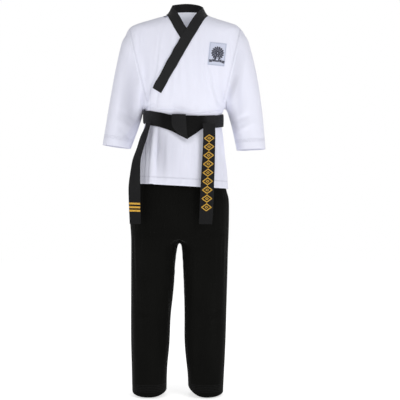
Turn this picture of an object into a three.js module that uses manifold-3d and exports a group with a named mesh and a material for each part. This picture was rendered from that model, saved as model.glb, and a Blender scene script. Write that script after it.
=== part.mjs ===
// Martial arts uniform: a wrap-over jacket with a black collar band, wide trousers and a knotted belt,
// filled out as it is worn. Millimetres, +Z up, the wearer faces -Y, and the origin is the middle of the
// neck where the shoulders begin. "left" and "right" are the sides seen from in front, at -X and +X.
import * as THREE from "three";
import { mergeVertices } from "three/addons/utils/BufferGeometryUtils.js";
import Module from "manifold-3d";

const wasm = await Module();
wasm.setup();

// ---- Driving dimensions ------------------------------------------------------------------------

const GAP = 0.4; // between any two pieces that touch
const SEAM = 0.5; // half of the slit between two panels sewn edge to edge
const CLOTH = 2.0; // jacket and trouser cloth, with its seam allowances pressed flat

// Layers of the jacket, as [inner, outer] distances from its base surface.
const LAYER_BASE = [-CLOTH, 0];
const LAYER_UNDER_BAND = [GAP, GAP + 1.8];
const LAYER_OVER_PANEL = [2.6, 4.4];
const LAYER_OVER_BAND = [4.8, 6.8];
const LAYER_PATCH = [4.8, 6.0];
const LAYER_EMBLEM = [6.4, 7.4];
const LAYER_BELT_INNER = [4.9, 7.3];
const LAYER_BELT_OUTER = [7.7, 10.1];
const LAYER_KNOT_ARM = [10.5, 15.5];
const LAYER_KNOT_LOOP = [15.9, 21.0];

const AROUND_TORSO = 32;
const AROUND_LIMB = 20;
const ROUNDNESS = 2.4; // exponent of the body's flattened-oval sections

const BELT_WIDTH = 45;
const TAIL_THICK = 3.6;

const HEM_LEFT_Z = -607; // jacket hem, a little lower on the right
const HEM_RIGHT_Z = -624;
const VENT_TOP_Z = -490;

const WAISTBAND_TOP_Z = -402;
const WAISTBAND_HEIGHT = 40;
const CROTCH = { x: -30, z: -822 };
const TROUSER_HEM_Z = -1383;

const SHOULDER_ARC = 60; // radius of the round seam that the arm swings in
const HIP_ARC = 92; // radius of the round seam that the leg swings in
const JOINT_GAP = 0.75;

// The jacket body: height, left and right edges, front and back.
const TORSO = [
  { z: 86, left: -57, right: 57, front: -46, back: 58 },
  { z: 60, left: -62, right: 61, front: -52, back: 61 },
  { z: 40, left: -68, right: 66, front: -58, back: 63 },
  { z: 22, left: -77, right: 74, front: -64, back: 67 },
  { z: 12, left: -100, right: 97, front: -71, back: 73 },
  { z: 0, left: -138, right: 131, front: -81, back: 81 },
  { z: -12, left: -180, right: 168, front: -90, back: 89 },
  { z: -26, left: -218, right: 201, front: -98, back: 96 },
  { z: -48, left: -224, right: 207, front: -105, back: 101 },
  { z: -92, left: -212, right: 197, front: -114, back: 106 },
  { z: -145, left: -199, right: 186, front: -121, back: 110 },
  { z: -205, left: -184, right: 171, front: -122, back: 111 },
  { z: -262, left: -168, right: 155, front: -116, back: 108 },
  { z: -312, left: -155, right: 139, front: -108, back: 104 },
  { z: -366, left: -151, right: 124, front: -102, back: 100 },
  { z: -402, left: -162, right: 128, front: -105, back: 103 },
  { z: -455, left: -184, right: 136, front: -112, back: 111 },
  { z: -530, left: -204, right: 142, front: -120, back: 121 },
  { z: -640, left: -216, right: 149, front: -128, back: 131 },
];

// The sleeves, from inside the shoulder to the cuff: outer edge, inner edge and half depth.
const SLEEVE_LEFT = [
  { outer: [-196, -40], inner: [-120, -120], depth: 74 },
  { outer: [-243, -88], inner: [-135, -200], depth: 84 },
  { outer: [-259, -134], inner: [-148, -258], depth: 83 },
  { outer: [-277, -214], inner: [-157, -304], depth: 78 },
  { outer: [-295, -314], inner: [-173, -346], depth: 71 },
  { outer: [-307, -388], inner: [-194, -402], depth: 66 },
  { outer: [-318, -452], inner: [-220, -470], depth: 62 },
];
const SLEEVE_RIGHT = [
  { outer: [182, -44], inner: [106, -124], depth: 74 },
  { outer: [229, -92], inner: [121, -202], depth: 84 },
  { outer: [247, -140], inner: [134, -254], depth: 83 },
  { outer: [266, -222], inner: [144, -296], depth: 78 },
  { outer: [280, -316], inner: [154, -340], depth: 71 },
  { outer: [288, -392], inner: [170, -402], depth: 66 },
  { outer: [294, -468], inner: [186, -474], depth: 62 },
];

// The trousers above the legs, and each leg.
const SEAT = [
  { z: -400, left: -145, right: 113, front: -88, back: 90 },
  { z: -445, left: -160, right: 122, front: -94, back: 98 },
  { z: -530, left: -190, right: 134, front: -106, back: 114 },
  { z: -620, left: -208, right: 145, front: -116, back: 124 },
  { z: -667, left: -218, right: 155, front: -119, back: 127 },
  { z: -720, left: -216, right: 156, front: -119, back: 127 },
  { z: -775, left: -211, right: 154, front: -114, back: 120 },
  { z: -822, left: -207, right: 150, front: -106, back: 110 },
];
const LEG_LEFT = [
  { z: -790, left: -210, right: -33, front: -106, back: 112 },
  { z: -835, left: -209, right: -34, front: -106, back: 110 },
  { z: -900, left: -209, right: -45, front: -100, back: 104 },
  { z: -1003, left: -209, right: -54, front: -92, back: 95 },
  { z: -1092, left: -209, right: -64, front: -87, back: 89 },
  { z: -1198, left: -208, right: -69, front: -84, back: 87 },
  { z: -1290, left: -206, right: -76, front: -82, back: 85 },
  { z: -1450, left: -204, right: -77, front: -81, back: 84 },
];
const LEG_RIGHT = [
  { z: -790, left: -27, right: 153, front: -106, back: 112 },
  { z: -835, left: -25, right: 151, front: -106, back: 110 },
  { z: -900, left: -18, right: 150, front: -100, back: 104 },
  { z: -987, left: -11, right: 148, front: -93, back: 96 },
  { z: -1092, left: -8, right: 145, front: -87, back: 89 },
  { z: -1190, left: -7, right: 141, front: -84, back: 87 },
  { z: -1297, left: 2, right: 137, front: -82, back: 85 },
  { z: -1450, left: 7, right: 132, front: -81, back: 84 },
];

// Where each limb turns, and the line between arm and body, from the top of the seam to below the cuff.
const ARMS = {
  left: {
    side: -1,
    rings: SLEEVE_LEFT,
    pivot: [-222, -120],
    line: [[-176, -192], [-158, -302], [-165, -350], [-179, -402], [-206, -475], [-216, -520]],
  },
  right: {
    side: 1,
    rings: SLEEVE_RIGHT,
    pivot: [206, -125],
    line: [[161, -198], [144, -296], [147, -340], [152, -402], [163, -475], [166, -520]],
  },
};
const LEGS = {
  left: { side: -1, rings: LEG_LEFT, pivot: [-133, -918] },
  right: { side: 1, rings: LEG_RIGHT, pivot: [66, -918] },
};

// The collar band's edges on the front, from the neck down, as [x, z].
const BAND_OVER_INNER = [[58, 60], [46, 35], [-3, -20], [-23, -58], [-130, -248]];
const BAND_OVER_OUTER = [[-97, -265], [-19, -121], [2, -86], [29, -44], [76, 17], [84, 60]];
const BAND_UNDER_INNER = [[-57, 61], [-43, 36], [-3, -20], [92, -215]];
const BAND_UNDER_OUTER = [[56, -234], [-23, -60], [-77, 23], [-84, 61]];

// ---- Materials ---------------------------------------------------------------------------------

function material(color, roughness, metalness = 0) {
  return new THREE.MeshStandardMaterial({ color, roughness, metalness });
}

const WHITE_CLOTH = material(0xe9e8f4, 0.85);
const BLACK_CLOTH = material(0x101113, 0.85);
const BLACK_BAND = material(0x15161a, 0.8);
const BELT_CLOTH = material(0x17181b, 0.75);
const GOLD_THREAD = material(0xd8a322, 0.5);
const NAVY_THREAD = material(0x23284a, 0.6);
const PATCH_CLOTH = material(0xe2e4f2, 0.8);
const ELASTIC = material(0xd9d9d6, 0.9);
const EYELET_METAL = material(0x26272a, 0.4, 0.8);
const FASTENER = material(0xd6d7e2, 0.9);

// ---- Solids ------------------------------------------------------------------------------------

// A three.js geometry as a manifold solid with its faces pointing out.
function solid(geometry) {
  const bare = (geometry.index ? geometry.toNonIndexed() : geometry).clone();
  for (const name of Object.keys(bare.attributes)) {
    if (name !== "position") bare.deleteAttribute(name);
  }
  const merged = mergeVertices(bare, 1e-4);
  const triVerts = new Uint32Array(merged.index.array);
  const vertProperties = new Float32Array(merged.attributes.position.array);
  const made = new wasm.Manifold(new wasm.Mesh({ numProp: 3, vertProperties, triVerts }));
  if (made.volume() >= 0) return made;
  for (let i = 0; i < triVerts.length; i += 3) {
    [triVerts[i + 1], triVerts[i + 2]] = [triVerts[i + 2], triVerts[i + 1]];
  }
  return new wasm.Manifold(new wasm.Mesh({ numProp: 3, vertProperties, triVerts }));
}

function toGeometry(manifold) {
  const mesh = manifold.getMesh();
  const positions = new Float32Array(mesh.numVert * 3);
  for (let i = 0; i < mesh.numVert; i++) {
    const start = i * mesh.numProp;
    positions.set(mesh.vertProperties.subarray(start, start + 3), i * 3);
  }
  const geometry = new THREE.BufferGeometry();
  geometry.setAttribute("position", new THREE.BufferAttribute(positions, 3));
  geometry.setIndex(new THREE.BufferAttribute(new Uint32Array(mesh.triVerts), 1));
  geometry.computeVertexNormals();
  return geometry;
}

// The biggest of a solid's separate bodies, without the crumbs that a cut can leave.
function biggest(manifold) {
  const bodies = manifold.decompose();
  return bodies.reduce((best, body) => (body.volume() > best.volume() ? body : best));
}

function join(solids) {
  return solids.reduce((all, one) => all.add(one));
}

// A closed body through a list of rings, each a loop of points in the same order.
function loft(rings) {
  const count = rings[0].length;
  const points = rings.flat();
  const faces = [];
  for (let r = 0; r + 1 < rings.length; r++) {
    for (let i = 0; i < count; i++) {
      const a = r * count + i;
      const b = r * count + ((i + 1) % count);
      faces.push(a, b, b + count, a, b + count, a + count);
    }
  }
  for (const r of [0, rings.length - 1]) {
    const middle = new THREE.Vector3();
    rings[r].forEach((p) => middle.addScaledVector(p, 1 / count));
    points.push(middle);
    for (let i = 0; i < count; i++) {
      const a = r * count + i;
      const b = r * count + ((i + 1) % count);
      if (r === 0) faces.push(b, a, points.length - 1);
      else faces.push(a, b, points.length - 1);
    }
  }
  const geometry = new THREE.BufferGeometry().setFromPoints(points);
  geometry.setIndex(faces);
  return solid(geometry);
}

// A flattened-oval loop: half widths along two directions, with a front and a back depth.
function oval(centre, across, front, back, count) {
  const loop = [];
  for (let i = 0; i < count; i++) {
    const turn = (i / count) * 2 * Math.PI;
    const u = Math.sign(Math.cos(turn)) * Math.abs(Math.cos(turn)) ** (2 / ROUNDNESS);
    const v = Math.sign(Math.sin(turn)) * Math.abs(Math.sin(turn)) ** (2 / ROUNDNESS);
    const point = centre.clone().addScaledVector(across, u);
    point.y += v * (v < 0 ? front : back);
    loop.push(point);
  }
  return loop;
}

// A stack of level rings, moved out by offset along the slope of its sides.
function stack(levels, offset, count) {
  const rings = levels.map((level, i) => {
    const above = levels[Math.max(i - 1, 0)];
    const below = levels[Math.min(i + 1, levels.length - 1)];
    const run = (below.right - below.left - above.right + above.left) / 2;
    const slope = new THREE.Vector2(above.z - below.z, run).normalize();
    const half = (level.right - level.left) / 2 + offset * slope.x;
    const middle = (level.left + level.right) / 2;
    const centre = new THREE.Vector3(middle, 0, level.z + offset * slope.y);
    const across = new THREE.Vector3(half, 0, 0);
    return oval(centre, across, -level.front + offset * slope.x, level.back + offset * slope.x, count);
  });
  return loft(rings);
}

// A sleeve, or the room inside it when it runs on past the cuff.
function sleeve(rings, offset, past) {
  const loops = rings.map((ring) => {
    const outer = new THREE.Vector3(ring.outer[0], 0, ring.outer[1]);
    const inner = new THREE.Vector3(ring.inner[0], 0, ring.inner[1]);
    const centre = outer.clone().add(inner).multiplyScalar(0.5);
    const across = outer.sub(inner).multiplyScalar(0.5);
    across.setLength(across.length() + offset);
    return oval(centre, across, ring.depth + offset, ring.depth + offset, AROUND_LIMB);
  });
  if (past > 0) {
    const last = rings[rings.length - 1];
    const before = rings[rings.length - 2];
    const along = new THREE.Vector3(last.outer[0] - before.outer[0], 0, last.outer[1] - before.outer[1]);
    along.setLength(past);
    loops.push(loops[loops.length - 1].map((p) => p.clone().add(along)));
  }
  return loft(loops);
}

// A prism through the whole depth whose outline is a list of [x, z] points.
function frontRegion(outline, yLow = -400, yHigh = 400) {
  const shape = new THREE.Shape(outline.map(([x, z]) => new THREE.Vector2(x, z)));
  const geometry = new THREE.ExtrudeGeometry(shape, { depth: yHigh - yLow, bevelEnabled: false });
  geometry.rotateX(Math.PI / 2);
  geometry.translate(0, yHigh, 0);
  return solid(geometry);
}

// A prism through the whole width whose outline is a list of [y, z] points.
function sideRegion(outline, xLow = -400, xHigh = 400) {
  const shape = new THREE.Shape(outline.map(([y, z]) => new THREE.Vector2(y, z)));
  const geometry = new THREE.ExtrudeGeometry(shape, { depth: xHigh - xLow, bevelEnabled: false });
  geometry.applyMatrix4(new THREE.Matrix4().makeBasis(
    new THREE.Vector3(0, 1, 0),
    new THREE.Vector3(0, 0, 1),
    new THREE.Vector3(1, 0, 0),
  ));
  geometry.translate(xLow, 0, 0);
  return solid(geometry);
}

function box(low, high) {
  const size = high.map((value, i) => value - low[i]);
  const middle = high.map((value, i) => (value + low[i]) / 2);
  return solid(new THREE.BoxGeometry(...size).translate(...middle));
}

// A cylinder that lies along Y through [x, z].
function roller([x, z], radius, yLow = -300, yHigh = 300) {
  const facets = radius < 10 ? 12 : 48;
  const geometry = new THREE.CylinderGeometry(radius, radius, yHigh - yLow, facets);
  return solid(geometry.translate(x, (yLow + yHigh) / 2, z));
}

// ---- The object --------------------------------------------------------------------------------

const uniform = new THREE.Group();
uniform.name = "martial_arts_uniform";

function place(name, manifold, look, group = uniform) {
  const mesh = new THREE.Mesh(toGeometry(biggest(manifold)), look);
  mesh.name = name;
  group.add(mesh);
  return mesh;
}

const FRONT_HALF = box([-400, -300, -1500], [400, -SEAM, 200]);
const BACK_HALF = box([-400, SEAM, -1500], [400, 300, 200]);

// Torso and sleeves together, grown by offset.
const jacketBodies = new Map();
function jacketBody(offset) {
  if (!jacketBodies.has(offset)) {
    const parts = [stack(TORSO, offset, AROUND_TORSO)];
    for (const arm of Object.values(ARMS)) parts.push(sleeve(arm.rings, offset, offset < 0 ? 20 : 0));
    jacketBodies.set(offset, join(parts));
  }
  return jacketBodies.get(offset);
}

function jacketLayer([inner, outer]) {
  return jacketBody(outer).subtract(jacketBody(inner));
}

function torsoLayer([inner, outer]) {
  return stack(TORSO, outer, AROUND_TORSO).subtract(stack(TORSO, inner, AROUND_TORSO));
}

// The swinging part of a sleeve: a disc round the shoulder pivot and all that lies outside the seam.
function armRegion(arm, gap) {
  const { side, pivot, line } = arm;
  const outline = [
    ...line.map(([x, z]) => [x + side * gap, z]),
    [side * 390, -520],
    [side * 390, pivot[1] - 45],
    [pivot[0], pivot[1] - 45],
  ];
  return frontRegion(outline).add(roller(pivot, SHOULDER_ARC - gap));
}

const armHoles = join(Object.values(ARMS).map((arm) => armRegion(arm, -JOINT_GAP / 2)));

// ---- Jacket ------------------------------------------------------------------------------------

const hemZ = (x) => HEM_LEFT_Z + ((x + 200) / 350) * (HEM_RIGHT_Z - HEM_LEFT_Z);
const WIDE = 380;

// The side vents open downwards between the back and the fronts.
const vents = sideRegion([[-0.4, VENT_TOP_Z], [0.4, VENT_TOP_Z], [5, -700], [-5, -700]]);

const overOutline = [
  [84, 60], [58, 60], ...BAND_OVER_INNER.slice(1, 4), [-128, -248], [-146, -330], [-152, hemZ(-152)],
  [WIDE, hemZ(WIDE)], [WIDE, 60],
];
const underOutline = [
  [-84, 45], ...BAND_UNDER_INNER.slice(0, 3), [92, -215], [98, hemZ(98)], [-WIDE, hemZ(-WIDE)], [-WIDE, 45],
];
const backOutline = [[-WIDE, hemZ(-WIDE)], [WIDE, hemZ(WIDE)], [WIDE, 60], [-WIDE, 60]];
const neckSlope = sideRegion([[-80, -4], [80, 52], [80, 120], [-80, 120]]);

function jacketPanel(name, layer, half, outline, cut) {
  const panel = jacketLayer(layer).intersect(half).intersect(frontRegion(outline));
  place(name, panel.subtract(armHoles).subtract(vents).subtract(cut), WHITE_CLOTH);
}

jacketPanel("jacket_back_panel", LAYER_BASE, BACK_HALF, backOutline, neckSlope);
jacketPanel("jacket_front_under", LAYER_BASE, FRONT_HALF, underOutline, neckSlope);
jacketPanel("jacket_front_over", LAYER_OVER_PANEL, FRONT_HALF, overOutline, neckSlope);

// The lining that doubles the back across the shoulders, inside the back panel.
const yokeLayer = stack(TORSO, -CLOTH - GAP, AROUND_TORSO).subtract(stack(TORSO, -CLOTH - 1.8, AROUND_TORSO));
const yokeOutline = [[-110, -150], [110, -150], [110, 60], [-110, 60]];
place(
  "shoulder_yoke_lining",
  yokeLayer.intersect(frontRegion(yokeOutline, 4, 300)).subtract(neckSlope),
  WHITE_CLOTH,
);

for (const [label, arm] of Object.entries(ARMS)) {
  const shell = jacketLayer(LAYER_BASE).intersect(armRegion(arm, JOINT_GAP / 2));
  place(`sleeve_${label}`, shell, WHITE_CLOTH);
}

// A square of doubled cloth over the top of each side vent.
for (const [label, side] of [["left", -1], ["right", 1]]) {
  const square = sideRegion(
    [[-13, VENT_TOP_Z - 8], [13, VENT_TOP_Z - 8], [13, VENT_TOP_Z + 22], [-13, VENT_TOP_Z + 22]],
    side < 0 ? -400 : 60,
    side < 0 ? -60 : 400,
  );
  const layer = side < 0 ? [GAP, 1.6] : [LAYER_OVER_PANEL[1] + GAP, LAYER_OVER_PANEL[1] + 1.6];
  place(`side_vent_tab_${label}`, torsoLayer(layer).intersect(square), WHITE_CLOTH);
}

// ---- Collar band -------------------------------------------------------------------------------

const neckRear = sideRegion([[-0.5, 20], [-0.5, 59], [80, 88], [80, 49]]);
const neckBand = torsoLayer(LAYER_OVER_BAND).intersect(neckRear);
place("collar_back_neck", neckBand.intersect(BACK_HALF), BLACK_BAND);
const bandTop = sideRegion([[-300, 58], [0, 58], [0, -300], [-300, -300]]);
const overBandOutline = frontRegion([...BAND_OVER_INNER, ...BAND_OVER_OUTER]);
const overBand = torsoLayer(LAYER_OVER_BAND).intersect(overBandOutline);
place("collar_over_front", overBand.intersect(FRONT_HALF).intersect(bandTop), BLACK_BAND);
const underBandOutline = frontRegion([...BAND_UNDER_INNER, ...BAND_UNDER_OUTER]);
const underBand = torsoLayer(LAYER_UNDER_BAND).intersect(underBandOutline);
place("collar_under_front", underBand.intersect(FRONT_HALF).intersect(bandTop), BLACK_BAND);

// ---- Hook and loop fastener between the two fronts ---------------------------------------------

const fastenerOutline = [[-118, -322], [-78, -322], [-78, -292], [-118, -292]];
const fastener = frontRegion(fastenerOutline, -300, 0);
place("closure_loop_patch", torsoLayer([GAP, 1.1]).intersect(fastener), FASTENER);
place("closure_hook_patch", torsoLayer([1.5, 2.2]).intersect(fastener), FASTENER);

// ---- Chest patch -------------------------------------------------------------------------------

const PATCH = { x: 112, z: -123, width: 62, height: 90, tilt: -0.04 };
function patchPrism(outline) {
  const turned = outline.map(([x, z]) => [
    PATCH.x + x * Math.cos(PATCH.tilt) - z * Math.sin(PATCH.tilt),
    PATCH.z + x * Math.sin(PATCH.tilt) + z * Math.cos(PATCH.tilt),
  ]);
  return frontRegion(turned, -300, 0);
}
const halfWide = PATCH.width / 2;
const halfHigh = PATCH.height / 2;
const patchOutline = [
  [-halfWide, -halfHigh], [halfWide, -halfHigh], [halfWide, halfHigh], [-halfWide, halfHigh],
];
place("chest_patch", torsoLayer(LAYER_PATCH).intersect(patchPrism(patchOutline)), PATCH_CLOTH);

// A plain eight-petalled rosette.
const ROSETTE_RADIUS = 24;
const rosette = [];
for (let i = 0; i < 48; i++) {
  const turn = (i / 48) * 2 * Math.PI;
  const radius = ROSETTE_RADIUS * (0.84 + 0.16 * Math.cos(8 * turn));
  rosette.push([radius * Math.sin(turn), radius * Math.cos(turn)]);
}
place("chest_emblem", torsoLayer(LAYER_EMBLEM).intersect(patchPrism(rosette)), NAVY_THREAD);

// ---- Trousers ----------------------------------------------------------------------------------

// Seat and legs together, grown by offset.
function trouserBody(offset) {
  const legs = Object.values(LEGS).map((leg) => stack(leg.rings, offset, AROUND_LIMB));
  return join([stack(SEAT, offset, AROUND_TORSO), ...legs]);
}

const seatTopZ = WAISTBAND_TOP_Z - WAISTBAND_HEIGHT - GAP;
const trouserRange = box([-400, -300, TROUSER_HEM_Z], [400, 300, seatTopZ]);
const trouserShell = trouserBody(0).subtract(trouserBody(-CLOTH)).intersect(trouserRange);

// The swinging part of a leg: a disc round the hip seam's centre and all that lies below it.
function legRegion(leg, gap) {
  const { side, pivot } = leg;
  const far = pivot[0] + side * (HIP_ARC + 40);
  const near = CROTCH.x + side * gap;
  const below = box([Math.min(far, near), -300, -1500], [Math.max(far, near), 300, pivot[1] - 20]);
  return below.add(roller(pivot, HIP_ARC - gap));
}

const legHoles = join(Object.values(LEGS).map((leg) => legRegion(leg, -JOINT_GAP / 2)));
const gussetOutline = [[-46, 0], [0, -78], [46, 0], [0, 78]];
function gussetPrism(grow) {
  const scale = 1 + grow / 40;
  const shape = new THREE.Shape(gussetOutline.map(([x, y]) => new THREE.Vector2(x * scale, y * scale)));
  const geometry = new THREE.ExtrudeGeometry(shape, { depth: 120, bevelEnabled: false });
  return solid(geometry.translate(CROTCH.x, 2, CROTCH.z - 90));
}

place("crotch_gusset", trouserShell.intersect(gussetPrism(0)).subtract(legHoles), BLACK_CLOTH);
const seatShell = trouserShell.subtract(legHoles).subtract(gussetPrism(SEAM * 2));
for (const [label, leg] of Object.entries(LEGS)) {
  const near = CROTCH.x + leg.side * SEAM;
  const far = leg.side * 400;
  const sideHalf = box([Math.min(near, far), -300, -1500], [Math.max(near, far), 300, 0]);
  const legShell = trouserShell.intersect(legRegion(leg, JOINT_GAP / 2));
  for (const [face, half] of [["front", FRONT_HALF], ["back", BACK_HALF]]) {
    place(`trouser_${label}_${face}_upper`, seatShell.intersect(sideHalf).intersect(half), BLACK_CLOTH);
    place(`trouser_${label}_${face}_leg`, legShell.intersect(half), BLACK_CLOTH);
  }
}

// ---- Waistband ---------------------------------------------------------------------------------

const WAIST = SEAT.slice(0, 3);
const EYELET = { middle: CROTCH.x + 14, spacing: 46, hole: 3.2, wall: 1.2, flange: 6.5 };
const AROUND_WAISTBAND = 28;
function waistRing(inner, outer, margin) {
  const height = box(
    [-300, -300, WAISTBAND_TOP_Z - WAISTBAND_HEIGHT + margin],
    [300, 300, WAISTBAND_TOP_Z - margin],
  );
  const ring = stack(WAIST, outer, AROUND_WAISTBAND).subtract(stack(WAIST, inner, AROUND_WAISTBAND));
  return ring.intersect(height);
}

const eyeletX = [EYELET.middle - EYELET.spacing / 2, EYELET.middle + EYELET.spacing / 2];
const eyeletZ = WAISTBAND_TOP_Z - WAISTBAND_HEIGHT / 2;
const eyeletHoles = join(eyeletX.map((x) => roller([x, eyeletZ], EYELET.hole + EYELET.wall + GAP, -300, 0)));
const casing = waistRing(-4.6, 0.8, 0).subtract(waistRing(-3.6, -0.2, 2));
const outerWallHoles = eyeletHoles.intersect(waistRing(-2, 2, -1));
place("waistband_casing", casing.subtract(outerWallHoles), BLACK_CLOTH);
place("waist_elastic", waistRing(-3.2, -0.6, 3), ELASTIC);

eyeletX.forEach((x, i) => {
  const wall = waistRing(-0.2, 1.6, 0);
  const bore = roller([x, eyeletZ], EYELET.hole, -300, 0);
  const tube = roller([x, eyeletZ], EYELET.hole + EYELET.wall, -300, 0).subtract(bore);
  const flange = roller([x, eyeletZ], EYELET.flange, -300, 0).subtract(bore);
  const ring = wall.intersect(tube).add(waistRing(1.2, 1.9, 0).intersect(flange));
  place(`eyelet_${i === 0 ? "left" : "right"}`, ring, EYELET_METAL);
});

// ---- Belt --------------------------------------------------------------------------------------

// The wraps sag a little from the left side to the middle, as [x, z] of the upper edge.
const beltTop = [[-260, -317], [-168, -331], [-88, -345], [-5, -349], [260, -345]];
function beltOutline(drop, width) {
  const upper = beltTop.map(([x, z]) => [x, z - drop]);
  const lower = beltTop.map(([x, z]) => [x, z - drop - width]).reverse();
  return [...upper, ...lower];
}

const innerWrap = torsoLayer(LAYER_BELT_INNER).intersect(frontRegion(beltOutline(2, BELT_WIDTH)));
const outerWrap = torsoLayer(LAYER_BELT_OUTER).intersect(frontRegion(beltOutline(0, BELT_WIDTH + 1)));
place("belt_inner_wrap", innerWrap, BELT_CLOTH);
place("belt_outer_wrap", outerWrap, BELT_CLOTH);

// The knot: a loop over the middle, an arm that rises to each side from its tip.
const KNOT_TIP = [-10, -434];
const armLeft = [[-140, -337], [-88, -346], [-57.4, -348], [-57.4, -408], [-90, -397], [-138, -386]];
const loopOutline = [[-56, -344], [-6, -349], [-4, -400], KNOT_TIP, [-34, -424], [-56, -410]];
const armRight = [
  [-4.6, -350], [54, -351], [104, -350], [104, -394], [58, -395], [4, -436], [-8.6, -435], [-2.6, -400],
];
function knotPiece(layer, outline) {
  return torsoLayer(layer).intersect(frontRegion(outline, -300, 0));
}
place("knot_arm_left", knotPiece(LAYER_KNOT_ARM, armLeft), BELT_CLOTH);
place("knot_arm_right", knotPiece(LAYER_KNOT_ARM, armRight), BELT_CLOTH);
place("knot_loop", knotPiece([LAYER_BELT_OUTER[1] + GAP, LAYER_KNOT_LOOP[1]], loopOutline), BELT_CLOTH);

// A hanging tail: stations of its middle, and the direction across it as a turn about Z.
function tail(stations) {
  const rings = stations.map(({ x, y, z, turn }) => {
    const across = new THREE.Vector3(Math.cos(turn), -Math.sin(turn), 0).multiplyScalar(BELT_WIDTH / 2);
    const through = new THREE.Vector3(Math.sin(turn), Math.cos(turn), 0).multiplyScalar(TAIL_THICK / 2);
    const middle = new THREE.Vector3(x, y, z);
    return [[-1, -1], [1, -1], [1, 1], [-1, 1]].map(([u, v]) => {
      return middle.clone().addScaledVector(across, u).addScaledVector(through, v);
    });
  });
  return loft(rings);
}

const TAIL_RIGHT_TOP = { x: 80, y: -127, z: -397.5, turn: 0 };
const TAIL_RIGHT_END = { x: 67, y: -141, z: -747, turn: 0 };
place("belt_tail_right", tail([TAIL_RIGHT_TOP, TAIL_RIGHT_END]), BELT_CLOTH);
// The left tail leaves the belt edge-on and turns to face forward before its straight end.
const TAIL_LEFT_TOP = { x: -143, y: -98, z: -394, turn: 1.15 };
const TAIL_LEFT_FLAT = { x: -187, y: -127, z: -650, turn: 0 };
const TAIL_LEFT_END = { x: -187, y: -129, z: -751, turn: 0 };
const TWIST_STEPS = 26;
const twisted = [];
for (let i = 0; i < TWIST_STEPS; i++) {
  const down = i / TWIST_STEPS;
  const eased = Math.sin((down * Math.PI) / 2) ** 1.25;
  twisted.push({
    x: THREE.MathUtils.lerp(TAIL_LEFT_TOP.x, TAIL_LEFT_FLAT.x, eased),
    y: THREE.MathUtils.lerp(TAIL_LEFT_TOP.y, TAIL_LEFT_FLAT.y, eased),
    z: THREE.MathUtils.lerp(TAIL_LEFT_TOP.z, TAIL_LEFT_FLAT.z, down),
    turn: TAIL_LEFT_TOP.turn * (1 - down) ** 1.5,
  });
}
place("belt_tail_left", tail([...twisted, TAIL_LEFT_FLAT, TAIL_LEFT_END]), BELT_CLOTH);

// Pieces sewn on a tail's front face, made flat and laid in its plane.
function onTail(top, end, name, flat, look) {
  const group = new THREE.Group();
  group.position.set(top.x, top.y, top.z);
  const down = new THREE.Vector3(end.x - top.x, end.y - top.y, end.z - top.z).normalize();
  const across = new THREE.Vector3(1, 0, 0).addScaledVector(down, -down.x).normalize();
  const up = down.clone().negate();
  const back = new THREE.Vector3().crossVectors(up, across);
  group.setRotationFromMatrix(new THREE.Matrix4().makeBasis(across, back, up));
  uniform.add(group);
  return place(name, flat, look, group);
}

// Rank bars: three plain stripes near the left tail's end.
const RANK_BARS = { count: 3, first: -31, pitch: 13, height: 7, thick: 0.8 };
const tailFace = -TAIL_THICK / 2 - GAP;
for (let i = 0; i < RANK_BARS.count; i++) {
  const z = RANK_BARS.first - i * RANK_BARS.pitch;
  const half = BELT_WIDTH / 2 - 0.5;
  const front = tailFace - RANK_BARS.thick;
  const bar = box([-half, front, z - RANK_BARS.height / 2], [half, tailFace, z + RANK_BARS.height / 2]);
  onTail(TAIL_LEFT_FLAT, TAIL_LEFT_END, `rank_bar_${i + 1}`, bar, GOLD_THREAD);
}

// Tail embroidery: a chain of open lozenges on one centre thread.
const CHAIN = { count: 9, first: -43, pitch: 31, high: 25, wide: 34, line: 4, thick: 0.8 };
function lozenge(z, wide, high) {
  const outline = [[0, z - high / 2], [wide / 2, z], [0, z + high / 2], [-wide / 2, z]];
  return frontRegion(outline, tailFace - CHAIN.thick, tailFace);
}
const chain = [];
for (let i = 0; i < CHAIN.count; i++) {
  const z = CHAIN.first - i * CHAIN.pitch;
  const inside = lozenge(z, CHAIN.wide - 2.6 * CHAIN.line, CHAIN.high - 2.6 * CHAIN.line);
  chain.push(lozenge(z, CHAIN.wide, CHAIN.high).subtract(inside));
}
const chainEnd = CHAIN.first - (CHAIN.count - 1) * CHAIN.pitch;
const threadLow = chainEnd - CHAIN.high / 2 - 3;
const threadHigh = CHAIN.first + CHAIN.high / 2 + 3;
chain.push(box([-1, tailFace - CHAIN.thick, threadLow], [1, tailFace, threadHigh]));
onTail(TAIL_RIGHT_TOP, TAIL_RIGHT_END, "tail_embroidery", join(chain), GOLD_THREAD);

export default uniform;
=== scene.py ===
"""A martial arts uniform as it is worn, with nobody in it: cloth shells draped over a hidden form,
a stitched collar band, a knotted belt and wide trousers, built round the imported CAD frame."""
import math
from contextlib import contextmanager

import bmesh
import bpy
import numpy as np
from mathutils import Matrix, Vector
from mathutils.bvhtree import BVHTree


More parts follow.
